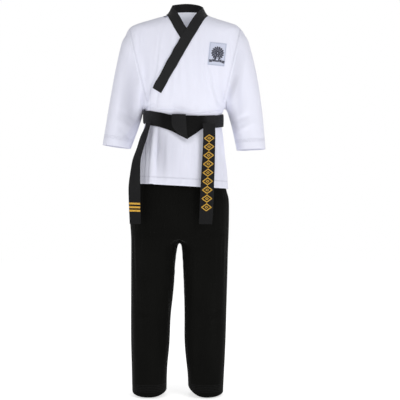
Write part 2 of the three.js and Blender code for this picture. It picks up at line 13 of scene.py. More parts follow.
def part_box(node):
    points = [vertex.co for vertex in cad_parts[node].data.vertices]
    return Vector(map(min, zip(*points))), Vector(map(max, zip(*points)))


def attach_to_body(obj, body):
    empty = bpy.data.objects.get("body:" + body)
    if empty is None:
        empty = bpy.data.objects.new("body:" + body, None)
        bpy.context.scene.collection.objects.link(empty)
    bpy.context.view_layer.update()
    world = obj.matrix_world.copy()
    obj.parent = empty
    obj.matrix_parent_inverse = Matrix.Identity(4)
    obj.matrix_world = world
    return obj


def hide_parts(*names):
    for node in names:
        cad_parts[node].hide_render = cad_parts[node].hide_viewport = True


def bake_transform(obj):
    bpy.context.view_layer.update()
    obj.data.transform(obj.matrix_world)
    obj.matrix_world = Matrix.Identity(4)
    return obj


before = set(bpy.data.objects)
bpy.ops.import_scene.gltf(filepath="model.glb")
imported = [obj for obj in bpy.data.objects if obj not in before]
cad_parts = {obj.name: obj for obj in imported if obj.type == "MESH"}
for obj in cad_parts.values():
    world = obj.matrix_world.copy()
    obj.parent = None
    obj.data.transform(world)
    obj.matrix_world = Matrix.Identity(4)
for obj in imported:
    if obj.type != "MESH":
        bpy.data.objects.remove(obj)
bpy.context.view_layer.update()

MM = 0.001


# ---- Camera, light and floor -------------------------------------------------------------------

FIELD = 1.5  # width of the view at the uniform
CAMERA_DISTANCE = 3.3
VIEW_CENTRE = Vector((0.04725, 0.0, -0.6675))
EYE = VIEW_CENTRE + Vector((0, -CAMERA_DISTANCE, 0))
SENSOR = 36.0  # millimetres
FLOOR_GAP = 0.012  # between the trousers' hems and the floor
FLOOR_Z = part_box("trouser_left_front_leg")[0][2] - FLOOR_GAP
AMBIENT = 0.38  # the share of the white surroundings that lights the cloth
FLOOR_GLOW = 0.64
# name, place, size and watts of each lamp, all of which face the uniform's middle
LAMPS = (
    ("key", (1.9, -2.4, 0.8), 1.3, 28),
    ("fill", (-2.0, -2.5, 0.3), 2.2, 16),
    ("back", (0.3, 2.4, 0.9), 2.4, 16),
)


def make_camera():
    data = bpy.data.cameras.new("camera")
    data.sensor_width = SENSOR
    data.lens = SENSOR * CAMERA_DISTANCE / FIELD
    data.dof.use_dof = False
    camera = bpy.data.objects.new("camera", data)
    camera.location = EYE
    camera.rotation_euler = (math.radians(90), 0, 0)
    bpy.context.scene.collection.objects.link(camera)
    bpy.context.scene.camera = camera


def area_light(name, place, size, watts):
    data = bpy.data.lights.new(name, "AREA")
    data.size = size
    data.energy = watts
    light = bpy.data.objects.new(name, data)
    light.location = place
    light.rotation_euler = (VIEW_CENTRE - Vector(place)).to_track_quat("-Z", "Y").to_euler()
    bpy.context.scene.collection.objects.link(light)


def make_stage():
    world = bpy.data.worlds.new("studio")
    bpy.context.scene.world = world
    world.use_nodes = True
    tree = world.node_tree
    background = tree.nodes["Background"]
    background.inputs["Color"].default_value = (1.0, 1.0, 1.0, 1)
    # The paper sweep shows white, and lights the cloth more softly than it shows.
    path = tree.nodes.new("ShaderNodeLightPath")
    strength = tree.nodes.new("ShaderNodeMapRange")
    strength.inputs["To Min"].default_value = AMBIENT
    strength.inputs["To Max"].default_value = 1.0
    tree.links.new(path.outputs["Is Camera Ray"], strength.inputs["Value"])
    tree.links.new(strength.outputs["Result"], background.inputs["Strength"])
    for lamp in LAMPS:
        area_light(*lamp)
    bpy.ops.mesh.primitive_grid_add(x_subdivisions=2, y_subdivisions=2, size=14)
    floor = bpy.context.object
    floor.name = "floor"
    floor.location = (0, 0, FLOOR_Z)
    look = bpy.data.materials.new("pale_floor")
    look.use_nodes = True
    values = {"Base Color": (0.95, 0.95, 0.95, 1), "Roughness": 0.9, "Emission Color": (1, 1, 1, 1),
              "Emission Strength": FLOOR_GLOW}
    for label, value in values.items():
        look.node_tree.nodes["Principled BSDF"].inputs[label].default_value = value
    floor.data.materials.append(look)
    scene = bpy.context.scene
    scene.view_settings.view_transform = "Standard"
    scene.view_settings.look = "None"


make_camera()
make_stage()


# ---- The wearer's form -------------------------------------------------------------------------

ROUNDNESS = 2.4  # exponent of the flattened-oval sections, as the CAD frame has them

# The jacket body from the neck down: height, left and right edges, front and back, in millimetres.
TORSO = [
    (86, -57, 57, -46, 58), (60, -62, 61, -52, 61), (40, -68, 66, -58, 63), (22, -77, 74, -64, 67),
    (12, -103, 88, -71, 73), (0, -142, 119, -81, 81), (-12, -184, 158, -90, 89),
    (-26, -222, 200, -98, 96), (-48, -228, 214, -105, 101), (-92, -212, 197, -114, 106),
    (-145, -199, 186, -121, 110), (-205, -184, 171, -122, 111), (-262, -168, 155, -116, 108),
    (-312, -159, 141, -108, 104), (-366, -157, 126, -102, 100), (-402, -162, 128, -105, 103),
    (-455, -184, 136, -112, 111), (-530, -204, 142, -120, 121), (-680, -219, 152, -131, 135),
]
# Each sleeve from inside the shoulder to past the cuff: outer edge, inner edge and half depth.
SLEEVE_LEFT = [
    (-212, -31, -114, -114, 72), (-242, -63, -124, -156, 78), (-252, -98, -137, -200, 83),
    (-262, -142, -148, -258, 83), (-277, -214, -157, -304, 78), (-295, -314, -173, -346, 71),
    (-307, -388, -194, -402, 66), (-318, -452, -220, -470, 62), (-323, -482, -232, -500, 60),
]
SLEEVE_RIGHT = [
    (197, -30, 100, -112, 72), (226, -61, 110, -152, 78), (237, -98, 122, -196, 83),
    (250, -146, 134, -252, 83), (266, -222, 144, -296, 78), (280, -316, 157, -340, 71),
    (288, -392, 174, -402, 66), (294, -468, 190, -474, 62), (297, -500, 196, -506, 60),
]
SEAT = [
    (-400, -145, 113, -88, 90), (-445, -160, 122, -94, 98), (-530, -190, 134, -106, 114),
    (-612, -204, 138, -115, 119), (-625, -207, 142, -116, 122), (-652, -217, 157, -118, 126),
    (-690, -219, 159, -119, 127), (-735, -217, 157.5, -119, 126), (-775, -212, 155.5, -114, 120),
    (-822, -208, 151, -106, 110),
]
LEG_LEFT = [
    (-790, -210, -33, -106, 112), (-835, -209, -33, -106, 110), (-900, -208.5, -43, -100, 104),
    (-1003, -208, -51, -92, 95), (-1092, -208, -60, -87, 89), (-1198, -207, -65, -84, 87),
    (-1290, -204, -74, -82, 85), (-1450, -201, -77, -81, 84),
]
LEG_RIGHT = [
    (-790, -26, 155, -106, 112), (-835, -23, 151.5, -106, 110), (-900, -19, 149, -100, 104),
    (-987, -15, 146, -93, 96), (-1092, -13, 143, -87, 89), (-1190, -13, 139.5, -84, 87),
    (-1297, -3, 134, -82, 85), (-1450, 4, 126, -81, 84),
]

AROUND = 96


def smooth_rows(rows, steps):
    """Rows with steps Catmull-Rom points between each two."""
    rows = np.array(rows, float)
    padded_rows = np.vstack([2 * rows[0] - rows[1], rows, 2 * rows[-1] - rows[-2]])
    out = []
    for i in range(1, len(rows)):
        p0, p1, p2, p3 = padded_rows[i - 1:i + 3]
        for t in np.arange(steps) / steps:
            out.append(0.5 * (2 * p1 + (p2 - p0) * t + (2 * p0 - 5 * p1 + 4 * p2 - p3) * t ** 2
                              + (3 * p1 - p0 - 3 * p2 + p3) * t ** 3))
    return np.array(out + [rows[-1]])


def oval(centre, across, front, back):
    turn = np.arange(AROUND) / AROUND * 2 * np.pi
    u = np.sign(np.cos(turn)) * np.abs(np.cos(turn)) ** (2 / ROUNDNESS)
    v = np.sign(np.sin(turn)) * np.abs(np.sin(turn)) ** (2 / ROUNDNESS)
    points = np.array(centre) + u[:, None] * np.array(across)
    points[:, 1] += np.where(v < 0, v * front, v * back)
    return points * MM


def stack_rings(rows, offset):
    rings = []
    for z, left, right, front, back in smooth_rows(rows, 3):
        half = (right - left) / 2 + offset
        rings.append(oval((left / 2 + right / 2, 0, z), (half, 0, 0), -front + offset, back + offset))
    return rings


def sleeve_rings(rows, offset):
    rings = []
    for outer_x, outer_z, inner_x, inner_z, depth in smooth_rows(rows, 3):
        across = np.array([outer_x - inner_x, 0, outer_z - inner_z]) / 2
        across *= 1 + offset / np.linalg.norm(across)
        centre = ((outer_x + inner_x) / 2, 0, (outer_z + inner_z) / 2)
        rings.append(oval(centre, across, depth + offset, depth + offset))
    return rings


@contextmanager
def editing(made):
    """Opens an object's mesh for editing, and writes it back."""
    edit = bmesh.new()
    edit.from_mesh(made.data)
    yield edit
    edit.to_mesh(made.data)
    edit.free()


def new_mesh(name, points, faces):
    mesh = bpy.data.meshes.new(name)
    mesh.from_pydata([tuple(p) for p in points], [], faces)
    made = bpy.data.objects.new(name, mesh)
    bpy.context.scene.collection.objects.link(made)
    return made


def loft(name, rings):
    count = len(rings[0])
    faces = []
    for r in range(len(rings) - 1):
        for i in range(count):
            a, b = r * count + i, r * count + (i + 1) % count
            faces.append((a, b, b + count, a + count))
    faces.append(tuple(range(count - 1, -1, -1)))
    faces.append(tuple((len(rings) - 1) * count + i for i in range(count)))
    made = new_mesh(name, np.vstack(rings), faces)
    with editing(made) as edit:
        bmesh.ops.recalc_face_normals(edit, faces=edit.faces)
    return made


def select_only(made):
    bpy.ops.object.select_all(action="DESELECT")
    made.select_set(True)
    bpy.context.view_layer.objects.active = made


def apply_modifiers(made):
    select_only(made)
    for modifier in list(made.modifiers):
        bpy.ops.object.modifier_apply(modifier=modifier.name)


def united(name, parts, voxel, smoothing):
    """The closed lofts as one even skin, with the creases between them eased."""
    select_only(parts[0])
    for part in parts[1:]:
        part.select_set(True)
    bpy.ops.object.join()
    made = bpy.context.object
    made.name = name
    remesh = made.modifiers.new("remesh", "REMESH")
    remesh.mode = "VOXEL"
    remesh.voxel_size = voxel
    ease = made.modifiers.new("ease", "SMOOTH")
    ease.factor = 0.5
    ease.iterations = smoothing
    apply_modifiers(made)
    return made


def ramp(values, low, high):
    """0 below low, 1 above high, and a smooth rise between."""
    t = np.clip((values - low) / (high - low), 0, 1)
    return t * t * (3 - 2 * t)


def jacket_form(name, offset, voxel, smoothing):
    parts = [loft(name, stack_rings(TORSO, offset))]
    for rows in (SLEEVE_LEFT, SLEEVE_RIGHT):
        parts.append(loft(name, sleeve_rings(rows, offset)))
    return united(name, parts, voxel, smoothing)


def trouser_form(name, offset, voxel, smoothing):
    parts = [loft(name, stack_rings(rows, offset)) for rows in (SEAT, LEG_LEFT, LEG_RIGHT)]
    return united(name, parts, voxel, smoothing)


# ---- Cutting and shaping cloth -----------------------------------------------------------------

def cut(made, point, normal, drop):
    """Cuts the mesh along a plane; with drop, what lies on the side the normal points to is removed."""
    with editing(made) as edit:
        whole = edit.verts[:] + edit.edges[:] + edit.faces[:]
        bmesh.ops.bisect_plane(edit, geom=whole, plane_co=point, plane_no=normal, clear_outer=drop, dist=1e-6)


def drop_where(made, test):
    """Removes the faces whose centres pass test(x, y, z), as arrays in metres."""
    with editing(made) as edit:
        centres = np.array([face.calc_center_median() for face in edit.faces]).reshape(-1, 3)
        gone = test(*centres.T)
        bmesh.ops.delete(edit, geom=[f for f, g in zip(edit.faces[:], gone) if g], context="FACES")


def coordinates(made):
    flat = np.empty(len(made.data.vertices) * 3)
    made.data.vertices.foreach_get("co", flat)
    return flat.reshape(-1, 3)


def set_coordinates(made, points):
    made.data.vertices.foreach_set("co", np.ascontiguousarray(points).ravel())
    made.data.update()


def normals(made):
    flat = np.empty(len(made.data.vertices) * 3)
    made.data.vertex_normals.foreach_get("vector", flat)
    return flat.reshape(-1, 3)


def duplicate(made, name):
    twin = made.copy()
    twin.data = made.data.copy()
    twin.name = name
    bpy.context.scene.collection.objects.link(twin)
    return twin


CLOTH_STIFFNESS = 14.0


def drape(cloth, form, pinned, grow, frames, most, bending=1.2):
    """Lets the cloth settle on the form.

    pinned is a weight per point, grow the spare cloth as a share, and most the metres a point may move.
    """
    start = coordinates(cloth)
    form.modifiers.new("collision", "COLLISION")
    form.collision.thickness_outer = 0.002
    form.collision.cloth_friction = 18
    group = cloth.vertex_groups.new(name="pins")
    for weight in np.unique(np.round(pinned, 1)):
        if weight > 0:
            members = np.nonzero(np.round(pinned, 1) == weight)[0]
            group.add([int(i) for i in members], float(weight), "REPLACE")
    modifier = cloth.modifiers.new("cloth", "CLOTH")
    settings = modifier.settings
    settings.quality = 6
    settings.mass = 0.25
    settings.tension_stiffness = settings.compression_stiffness = CLOTH_STIFFNESS
    settings.shear_stiffness = CLOTH_STIFFNESS * 0.4
    settings.bending_stiffness = bending
    settings.tension_damping = settings.compression_damping = 8
    settings.air_damping = 2
    settings.shrink_min = -grow
    settings.vertex_group_mass = "pins"
    settings.pin_stiffness = 1
    modifier.collision_settings.collision_quality = 2
    modifier.collision_settings.distance_min = 0.003
    modifier.collision_settings.use_self_collision = False
    modifier.point_cache.frame_start = 1
    modifier.point_cache.frame_end = frames
    scene = bpy.context.scene
    for step in range(1, frames + 1):
        scene.frame_set(step)
    apply_modifiers(cloth)
    scene.frame_set(1)
    moved = coordinates(cloth) - start
    far = np.linalg.norm(moved, axis=1, keepdims=True)
    scale = most * np.tanh(far / most) / np.maximum(far, 1e-9)
    set_coordinates(cloth, start + moved * scale)
    cloth.vertex_groups.clear()


def attach(piece, body, slot, *nodes):
    """Says which body a piece rides on, and the CAD nodes it stands for; slot is not used."""
    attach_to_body(piece, body)
    if nodes:
        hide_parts(*nodes)


# ---- Materials ---------------------------------------------------------------------------------

REST = "rest"  # each point's place before any pose, which every cloth pattern is drawn on


class Look:
    """A procedural material, with short ways to add nodes."""

    rigid = False  # a CAD part carried over keeps its own coordinates instead of the rest places

    def __init__(self, name, roughness, specular=0.3):
        self.material = bpy.data.materials.new(name)
        self.material.use_nodes = True
        self.tree = self.material.node_tree
        self.shader = self.tree.nodes["Principled BSDF"]
        self.shader.inputs["Roughness"].default_value = roughness
        self.shader.inputs["Specular IOR Level"].default_value = specular
        self.height = None

    def add(self, kind, *values, **settings):
        """Adds a node with its settings, and fills in its first sockets."""
        made = self.tree.nodes.new("ShaderNode" + kind)
        for label, value in settings.items():
            setattr(made, label, value)
        for socket, value in zip(made.inputs, values):
            self.put(socket, value)
        return made

    def put(self, socket, value):
        if isinstance(value, bpy.types.NodeSocket):
            self.tree.links.new(value, socket)
        elif socket.type == "RGBA":
            socket.default_value = (*value, 1)
        else:
            socket.default_value = value

    def rest(self):
        if self.rigid:
            return self.add("TexCoord").outputs["Object"]
        return self.add("Attribute", attribute_name=REST).outputs["Vector"]

    def value(self, name):
        return self.add("Attribute", attribute_name=name).outputs["Fac"]

    def math(self, operation, *values):
        return self.add("Math", *values, operation=operation).outputs[0]

    def times(self, a, b):
        return self.math("MULTIPLY", a, b)

    def minus(self, a, b):
        return self.math("SUBTRACT", a, b)

    def dot(self, vector, direction):
        return self.add("VectorMath", vector, direction, operation="DOT_PRODUCT").outputs["Value"]

    def noise(self, scale, detail=3.0):
        made = self.add("TexNoise", self.rest())
        made.inputs["Scale"].default_value = scale
        made.inputs["Detail"].default_value = detail
        return made.outputs["Fac"]

    def mix(self, share, a, b):
        made = self.add("Mix", share, data_type="RGBA")
        self.put(made.inputs[6], a)
        self.put(made.inputs[7], b)
        return made.outputs[2]

    def bump(self, height, depth):
        """Adds a height from 0 to 1, depth metres deep."""
        scaled = self.times(height, depth)
        self.height = scaled if self.height is None else self.math("ADD", self.height, scaled)

    def finish(self, color):
        self.put(self.shader.inputs["Base Color"], color)
        if self.height is not None:
            made = self.add("Bump")
            made.inputs["Strength"].default_value = 1.0
            made.inputs["Distance"].default_value = 1.0
            self.put(made.inputs["Height"], self.height)
            self.tree.links.new(made.outputs["Normal"], self.shader.inputs["Normal"])
        return self.material

    def sheen(self, weight, roughness=0.5):
        self.shader.inputs["Sheen Weight"].default_value = weight
        self.shader.inputs["Sheen Roughness"].default_value = roughness
        self.shader.inputs["Sheen Tint"].default_value = (1, 1, 1, 1)


def wave(look, coordinate, pitch):
    """A wave of that pitch in metres along a coordinate, from 0 to 1."""
    turned = look.times(coordinate, 2 * math.pi / pitch)
    return look.math("MULTIPLY_ADD", look.math("SINE", turned), 0.5, 0.5)


STITCH_PITCH, STITCH_HALF = 0.0032, 0.0007


def stitch_rows(look, distance, places, along):
    """Dashed thread, from 0 to 1, on each line where the distance equals a place."""
    total = None
    for place in places:
        off = look.math("ABSOLUTE", look.minus(distance, place))
        line = look.math("LESS_THAN", off, STITCH_HALF)
        total = line if total is None else look.math("MAXIMUM", total, line)
    dash = look.math("GREATER_THAN", wave(look, along, STITCH_PITCH), 0.22)
    return look.times(total, dash)


def weave_bump(look, warp, weft, depth):
    """A plain weave: two crossed waves."""
    rest = look.rest()
    around = wave(look, look.dot(rest, (1, 1, 0)), warp)
    crossed = look.times(around, wave(look, look.dot(rest, (0, 0, 1)), weft))
    look.bump(crossed, depth)
    return crossed


def sew_rows(look, color, rows, share, thread_color):
    """Presses rows of stitching into a cloth and tints them.

    rows holds (normal, distance of the plane, stitch distances, along, lowest z).
    """
    rest = look.rest()
    for normal, offset, places, along, lowest in rows:
        distance = look.minus(look.dot(rest, normal), offset)
        thread = stitch_rows(look, distance, places, look.dot(rest, along))
        thread = look.times(thread, look.math("GREATER_THAN", look.dot(rest, (0, 0, 1)), lowest))
        look.bump(thread, -0.0005)
        color = look.mix(look.times(thread, share), color, thread_color)
    return color


def paint_crease_shade(look, color, creases):
    """Paints shade into the front of the cloth along creases, greying it where a fold would lie in shadow:
    from, to, half width in millimetres, and a share.
    """
    rest = look.rest()
    front = look.math("MINIMUM", look.math("MAXIMUM", look.dot(rest, (0, -30, 0)), 0.0), 1.0)
    for start, end, half, share in creases:
        start, end = Vector((start[0], 0, start[1])) * MM, Vector((end[0], 0, end[1])) * MM
        run = end - start
        side = Vector((-run.z, 0, run.x)).normalized() / (half * MM)
        run /= run.length_squared
        off = look.minus(look.dot(rest, side), side.dot(start))
        along = look.minus(look.dot(rest, run), run.dot(start))
        across = look.minus(1.0, look.times(off, off))
        ends = look.times(look.times(along, 4.0), look.minus(1.0, along))
        deep = look.times(look.math("MAXIMUM", across, 0.0), look.math("MAXIMUM", ends, 0.0))
        deep = look.times(look.times(deep, front), share)
        # painted shade: the grey that a crease's shadow gives the white cloth
        color = look.mix(deep, color, (0.36, 0.36, 0.42))
    return color


def white_cloth(name, rows, creases=()):
    look = Look(name, 0.86, 0.2)
    crossed = weave_bump(look, 0.0011, 0.0013, 0.00012)
    look.bump(look.noise(38, 4), 0.0006)
    cloud = look.noise(5, 4)
    color = look.mix(cloud, (0.80, 0.81, 0.93), (0.86, 0.865, 0.965))
    color = look.mix(look.times(crossed, 0.10), color, (0.62, 0.62, 0.74))
    # painted shade along the given crease lines
    color = paint_crease_shade(look, color, creases)
    color = sew_rows(look, color, rows, 0.38, (0.5, 0.5, 0.62))
    look.sheen(0.15)
    return look.finish(color)


def black_cloth(name, rows=()):
    look = Look(name, 0.75, 0.035)
    crossed = weave_bump(look, 0.0012, 0.0012, 0.00015)
    look.bump(look.noise(30, 4), 0.0006)
    cloud = look.noise(6, 5)
    color = look.mix(cloud, (0.0026, 0.0026, 0.0023), (0.0064, 0.0064, 0.0057))
    color = look.mix(look.times(crossed, 0.25), color, (0.008, 0.008, 0.0075))
    color = sew_rows(look, color, rows, 0.5, (0.03, 0.03, 0.032))
    look.sheen(0.03, 0.4)
    return look.finish(color)


def band_cloth(name, pitch, base, lift, shade=None):
    """Black band or belt: twill with rows of thread, drawn on the strip's own across and along.

    The span given last is (from, to) along the strip in metres, over which the colour goes to a much darker
    black: painted shade.
    """
    look = Look(name, 0.62, 0.13)
    across = look.value("across")
    along = look.value("along")
    twill = wave(look, look.math("ADD", across, along), 0.0013)
    look.bump(twill, 0.00012)
    row = wave(look, across, pitch)
    dash = look.math("GREATER_THAN", wave(look, along, 0.003), 0.25)
    thread = look.times(look.math("LESS_THAN", row, 0.06), dash)
    look.bump(thread, 0.00025)
    look.bump(look.noise(60, 3), 0.0003)
    color = look.mix(look.noise(25, 4), (base, base, base * 1.08), (base * 1.7, base * 1.7, base * 1.8))
    color = look.mix(look.times(thread, 0.6), color, (lift, lift, lift * 1.05))
    # painted shade: over the given span along the strip the black goes much darker
    if shade:
        reach = look.add("MapRange", along)
        reach.inputs["From Min"].default_value, reach.inputs["From Max"].default_value = shade
        color = look.mix(reach.outputs["Result"], color, (base * 0.12, base * 0.12, base * 0.12))
    look.sheen(0.05, 0.35)
    return look.finish(color)


def thread_look(name, dark, light, pitch, direction):
    """Satin-stitched thread: fine ridges of shining yarn along one direction."""
    look = Look(name, 0.42, 0.55)
    rest = look.rest()
    ridge = wave(look, look.dot(rest, direction), pitch)
    look.bump(ridge, 0.00025)
    color = look.mix(ridge, dark, light)
    color = look.mix(look.times(look.noise(300, 2), 0.35), color, dark)
    look.sheen(0.3, 0.3)
    return look.finish(color)


def plain_weave(name, color_a, color_b, roughness, pitch=0.0011):
    look = Look(name, roughness, 0.25)
    crossed = weave_bump(look, pitch, pitch, 0.00015)
    look.sheen(0.2)
    return look.finish(look.mix(crossed, color_a, color_b))


# ---- Jacket ------------------------------------------------------------------------------------

HEM_NORMAL = Vector((19.5 / 350, 0, 1)).normalized()  # across the hem, which falls a little to the right
HEM_POINT = Vector((-0.2, 0, -0.6015))
NECK_NORMAL = Vector((0, -0.35, 1)).normalized()
NECK_POINT = Vector((0, 0, 0.027))
PANEL_LIFT = 0.0033  # the over panel's face above the cloth under it
CLOTH_THICK = 0.0013
BELT_HALF = 0.0225


class Arm:
    """One sleeve's seam with the body and its cuff, in millimetres in front view; side is -1 or 1."""

    def __init__(self, label, side, top, armpit, below, cuff_outer, cuff_inner):
        self.label, self.side = label, side
        self.line_x = [p[0] * MM for p in [top, armpit] + below][::-1]
        self.line_z = [p[1] * MM for p in [top, armpit] + below][::-1]
        self.point = Vector((armpit[0], 0, armpit[1])) * MM
        run = Vector((top[0] - armpit[0], 0, top[1] - armpit[1]))
        self.outward = Vector((run.z * side, 0, -run.x * side)).normalized()
        across = Vector((cuff_outer[0] - cuff_inner[0], 0, cuff_outer[1] - cuff_inner[1]))
        self.cuff_point = Vector((cuff_outer[0], 0, cuff_outer[1])) * MM
        self.cuff_normal = Vector((-across.z * side, 0, across.x * side)).normalized()
        if self.cuff_normal.z > 0:
            self.cuff_normal.negate()
        self.seam = self.outward.dot(self.point)

    def holds(self, x, z):
        return self.side * x > self.side * np.interp(z, self.line_z, self.line_x)


ARM_LEFT = Arm("left", -1, (-229, -3), (-158, -302),
               [(-165, -350), (-179, -402), (-206, -475), (-222, -540)], (-318, -452), (-220, -470))
ARM_RIGHT = Arm("right", 1, (215, 2), (144, -296),
                [(147, -340), (152, -402), (163, -475), (170, -540)], (294, -468), (186, -474))
ARMS = (ARM_LEFT, ARM_RIGHT)


def is_arm(x, z):
    return ARM_LEFT.holds(x, z) | ARM_RIGHT.holds(x, z)


def plane_side(points, point, normal):
    return (points - np.array(point)) @ np.array(normal)


WAIST_ROW = [row for row in TORSO if row[0] == -366][0]
WAIST_X = (WAIST_ROW[1] + WAIST_ROW[2]) / 2 * MM
WAIST_HALF = (WAIST_ROW[2] - WAIST_ROW[1]) / 2
WAIST_RING = oval((WAIST_X / MM, 0, 0), (WAIST_HALF, 0, 0), -WAIST_ROW[3], WAIST_ROW[4])
WAIST_TURNS = np.arctan2(WAIST_RING[:, 1], WAIST_RING[:, 0] - WAIST_X)
WAIST_ORDER = np.argsort(WAIST_TURNS)
WAIST_REACHES = np.hypot(WAIST_RING[:, 0] - WAIST_X, WAIST_RING[:, 1])[WAIST_ORDER]
KNOT_X, KNOT_HALF = 0.002, 0.048
SLEEVE_CLEAR = 0.012  # between the belt and the sleeves
# The belt's middle height by its direction from the waist's middle: the front is at -90 degrees.
BELT_TURNS = [-180, -150, -115, -90, -60, -30, 0, 90, 180]
BELT_MIDDLES = [-355, -363, -381, -383, -384, -380, -370, -365, -355]


def waist_reach(turn):
    """The form's radius at the belt, in a direction about its middle."""
    return np.interp(turn, WAIST_TURNS[WAIST_ORDER], WAIST_REACHES, period=2 * np.pi)


def belt_middle(turn):
    return np.interp(np.degrees(turn), BELT_TURNS, BELT_MIDDLES) * MM


def waist_polar(points):
    """The direction and distance of each point from the waist's middle line."""
    x, y = points[:, 0] - WAIST_X, points[:, 1]
    return np.arctan2(y, x), np.hypot(x, y)


def belt_squeeze(made, extra):
    """Presses the body's cloth in behind the belt, and holds the sleeves off it."""
    points = coordinates(made)
    turn, reach = waist_polar(points)
    off = points[:, 2] - belt_middle(turn)
    knot = np.exp(-((points[:, 0] - KNOT_X) / KNOT_HALF) ** 2) * (points[:, 1] < 0)
    off = np.where(off < 0, -off / (1 + 1.5 * knot), off)
    near = 1 - ramp(off, BELT_HALF - 0.003, BELT_HALF + 0.012)
    arm = is_arm(points[:, 0], points[:, 2])
    most = waist_reach(turn) + extra
    wanted = np.where(arm, np.maximum(reach, most + SLEEVE_CLEAR), np.minimum(reach, most))
    scale = 1 + near * (wanted / np.maximum(reach, 1e-6) - 1)
    points[:, 0] = WAIST_X + (points[:, 0] - WAIST_X) * scale
    points[:, 1] *= scale
    set_coordinates(made, points)


def keep(made, name, test):
    """A copy of made with only the faces whose centres pass the test."""
    piece = duplicate(made, name)
    drop_where(piece, lambda x, y, z: ~test(x, y, z))
    with editing(piece) as edit:
        bmesh.ops.delete(edit, geom=[v for v in edit.verts if not v.link_faces], context="VERTS")
    return piece


def clothe(made, look):
    """Gives a finished mesh smooth shading, the rest place of each point and its one material."""
    made.data.polygons.foreach_set("use_smooth", [True] * len(made.data.polygons))
    rest = made.data.attributes.get(REST) or made.data.attributes.new(REST, "FLOAT_VECTOR", "POINT")
    rest.data.foreach_set("vector", coordinates(made).ravel())
    made.data.materials.clear()
    made.data.materials.append(look)
    return made


def sew(made, look, thick):
    """Gives a sheet its cloth: finer mesh, real thickness inwards, smooth shading and a material."""
    finer = made.modifiers.new("finer", "SUBSURF")
    finer.levels = finer.render_levels = 1
    shell = made.modifiers.new("thickness", "SOLIDIFY")
    shell.thickness = thick
    shell.offset = -1
    apply_modifiers(made)
    return clothe(made, look)


def tree_of(made):
    points = [vertex.co[:] for vertex in made.data.vertices]
    return BVHTree.FromPolygons(points, [face.vertices[:] for face in made.data.polygons])


def pinch(points, line_a, line_b, depth, width):
    """A drag fold: a groove of that depth along a line in front view, fading at its ends."""
    a, b = np.array(line_a) * MM, np.array(line_b) * MM
    flat = points[:, [0, 2]]
    along = b - a
    t = np.clip(((flat - a) @ along) / (along @ along), 0, 1)
    off = np.linalg.norm(flat - (a + t[:, None] * along), axis=1)
    fade = np.sin(np.pi * (0.05 + 0.9 * t))
    return depth * MM * np.exp(-(off / (width * MM)) ** 2) * fade


# Folds that the worn jacket has, in front view: from, to, depth (out when negative), width.
FRONT_FOLDS = [
    ((-204, -176), (-160, -300), 8, 10), ((-196, -190), (-148, -318), -4, 12),
    ((-170, -300), (-120, -210), 4, 9), ((180, -170), (148, -290), 8, 10),
    ((170, -186), (138, -300), -4, 12), ((150, -285), (96, -215), 4, 10),
    ((-252, -330), (-176, -372), 7, 9), ((-268, -356), (-190, -408), -5, 9),
    ((-250, -395), (-206, -440), 3.5, 8), ((236, -345), (172, -372), 6.5, 9),
    ((254, -372), (182, -410), -5, 9), ((-148, -300), (-132, -240), 3, 7),
    ((-118, -334), (-104, -262), 4, 6), ((-140, -332), (-134, -276), -3, 6),
    ((72, -340), (84, -255), 3.5, 6), ((96, -338), (104, -268), -3, 6), ((26, -340), (34, -285), 2, 6),
    ((-52, -338), (-44, -286), 2, 7), ((-104, -392), (-114, -580), 15, 12),
    ((-70, -400), (-68, -600), -4, 14), ((-148, -400), (-168, -560), -3, 10),
    ((30, -440), (26, -610), 3, 18), ((118, -398), (128, -600), 3.5, 12),
    ((-190, -30), (-120, -60), 3, 9), ((180, -36), (120, -66), 3, 9),
    ((-210, -52), (-170, -120), 2.5, 9), ((-200, -180), (-198, -400), 16, 24),
    ((194, -180), (182, -370), 14, 22),
]
BACK_FOLDS = [
    ((-200, -176), (-162, -296), 8, 11), ((180, -170), (148, -290), 8, 11),
    ((-160, -300), (-90, -220), 4, 10), ((140, -292), (74, -216), 4, 10),
    ((-110, -332), (-92, -240), 4, 8), ((-60, -334), (-50, -262), -3, 8),
    ((-10, -336), (-12, -250), 4, 8), ((44, -334), (40, -262), -3, 8), ((84, -332), (76, -246), 4, 8),
    ((-120, -400), (-134, -590), 6, 14), ((-70, -400), (-76, -600), -5, 15),
    ((-20, -400), (-22, -600), 6, 14), ((34, -400), (38, -600), -5, 15),
    ((84, -400), (98, -590), 6, 14), ((-252, -340), (-184, -380), 4, 9),
    ((240, -345), (176, -378), 4, 9), ((-40, -20), (40, -20), 3, 16),
]


def fold(made, folds, front):
    points = coordinates(made)
    facing = normals(made)
    mask = ramp(-points[:, 1] if front else points[:, 1], 0.0, 0.03)
    depth = np.zeros(len(points))
    for line_a, line_b, deep, wide in folds:
        depth += pinch(points, line_a, line_b, deep, wide)
    set_coordinates(made, points - facing * (depth * mask)[:, None])


def drape_jacket():
    cloth = jacket_form("jacket", 0, 0.0065, 7)
    cut(cloth, HEM_POINT, -HEM_NORMAL, True)
    for arm in ARMS:
        cut(cloth, arm.cuff_point, arm.cuff_normal, False)
        drop_where(cloth, lambda x, y, z: arm.holds(x, z) & (
            plane_side(np.stack([x, y, z], 1), arm.cuff_point, arm.cuff_normal) > 0))
    fold(cloth, FRONT_FOLDS, True)
    fold(cloth, BACK_FOLDS, False)
    form = jacket_form("jacket_wearer", -9, 0.012, 4)
    points = coordinates(cloth)
    turn, _ = waist_polar(points)
    arm = is_arm(points[:, 0], points[:, 2])
    belt = (1 - ramp(np.abs(points[:, 2] - belt_middle(turn)), 0.02, 0.032)) * ~arm
    neck = ramp(points[:, 2], -0.012, 0.012)
    drape(cloth, form, np.maximum(belt, neck), 0.022, 16, 0.009, bending=4.0)
    bpy.data.objects.remove(form)
    belt_squeeze(cloth, 0.0)
    return cloth


jacket = drape_jacket()
guide = duplicate(jacket, "guide")
guide_tree = tree_of(guide)

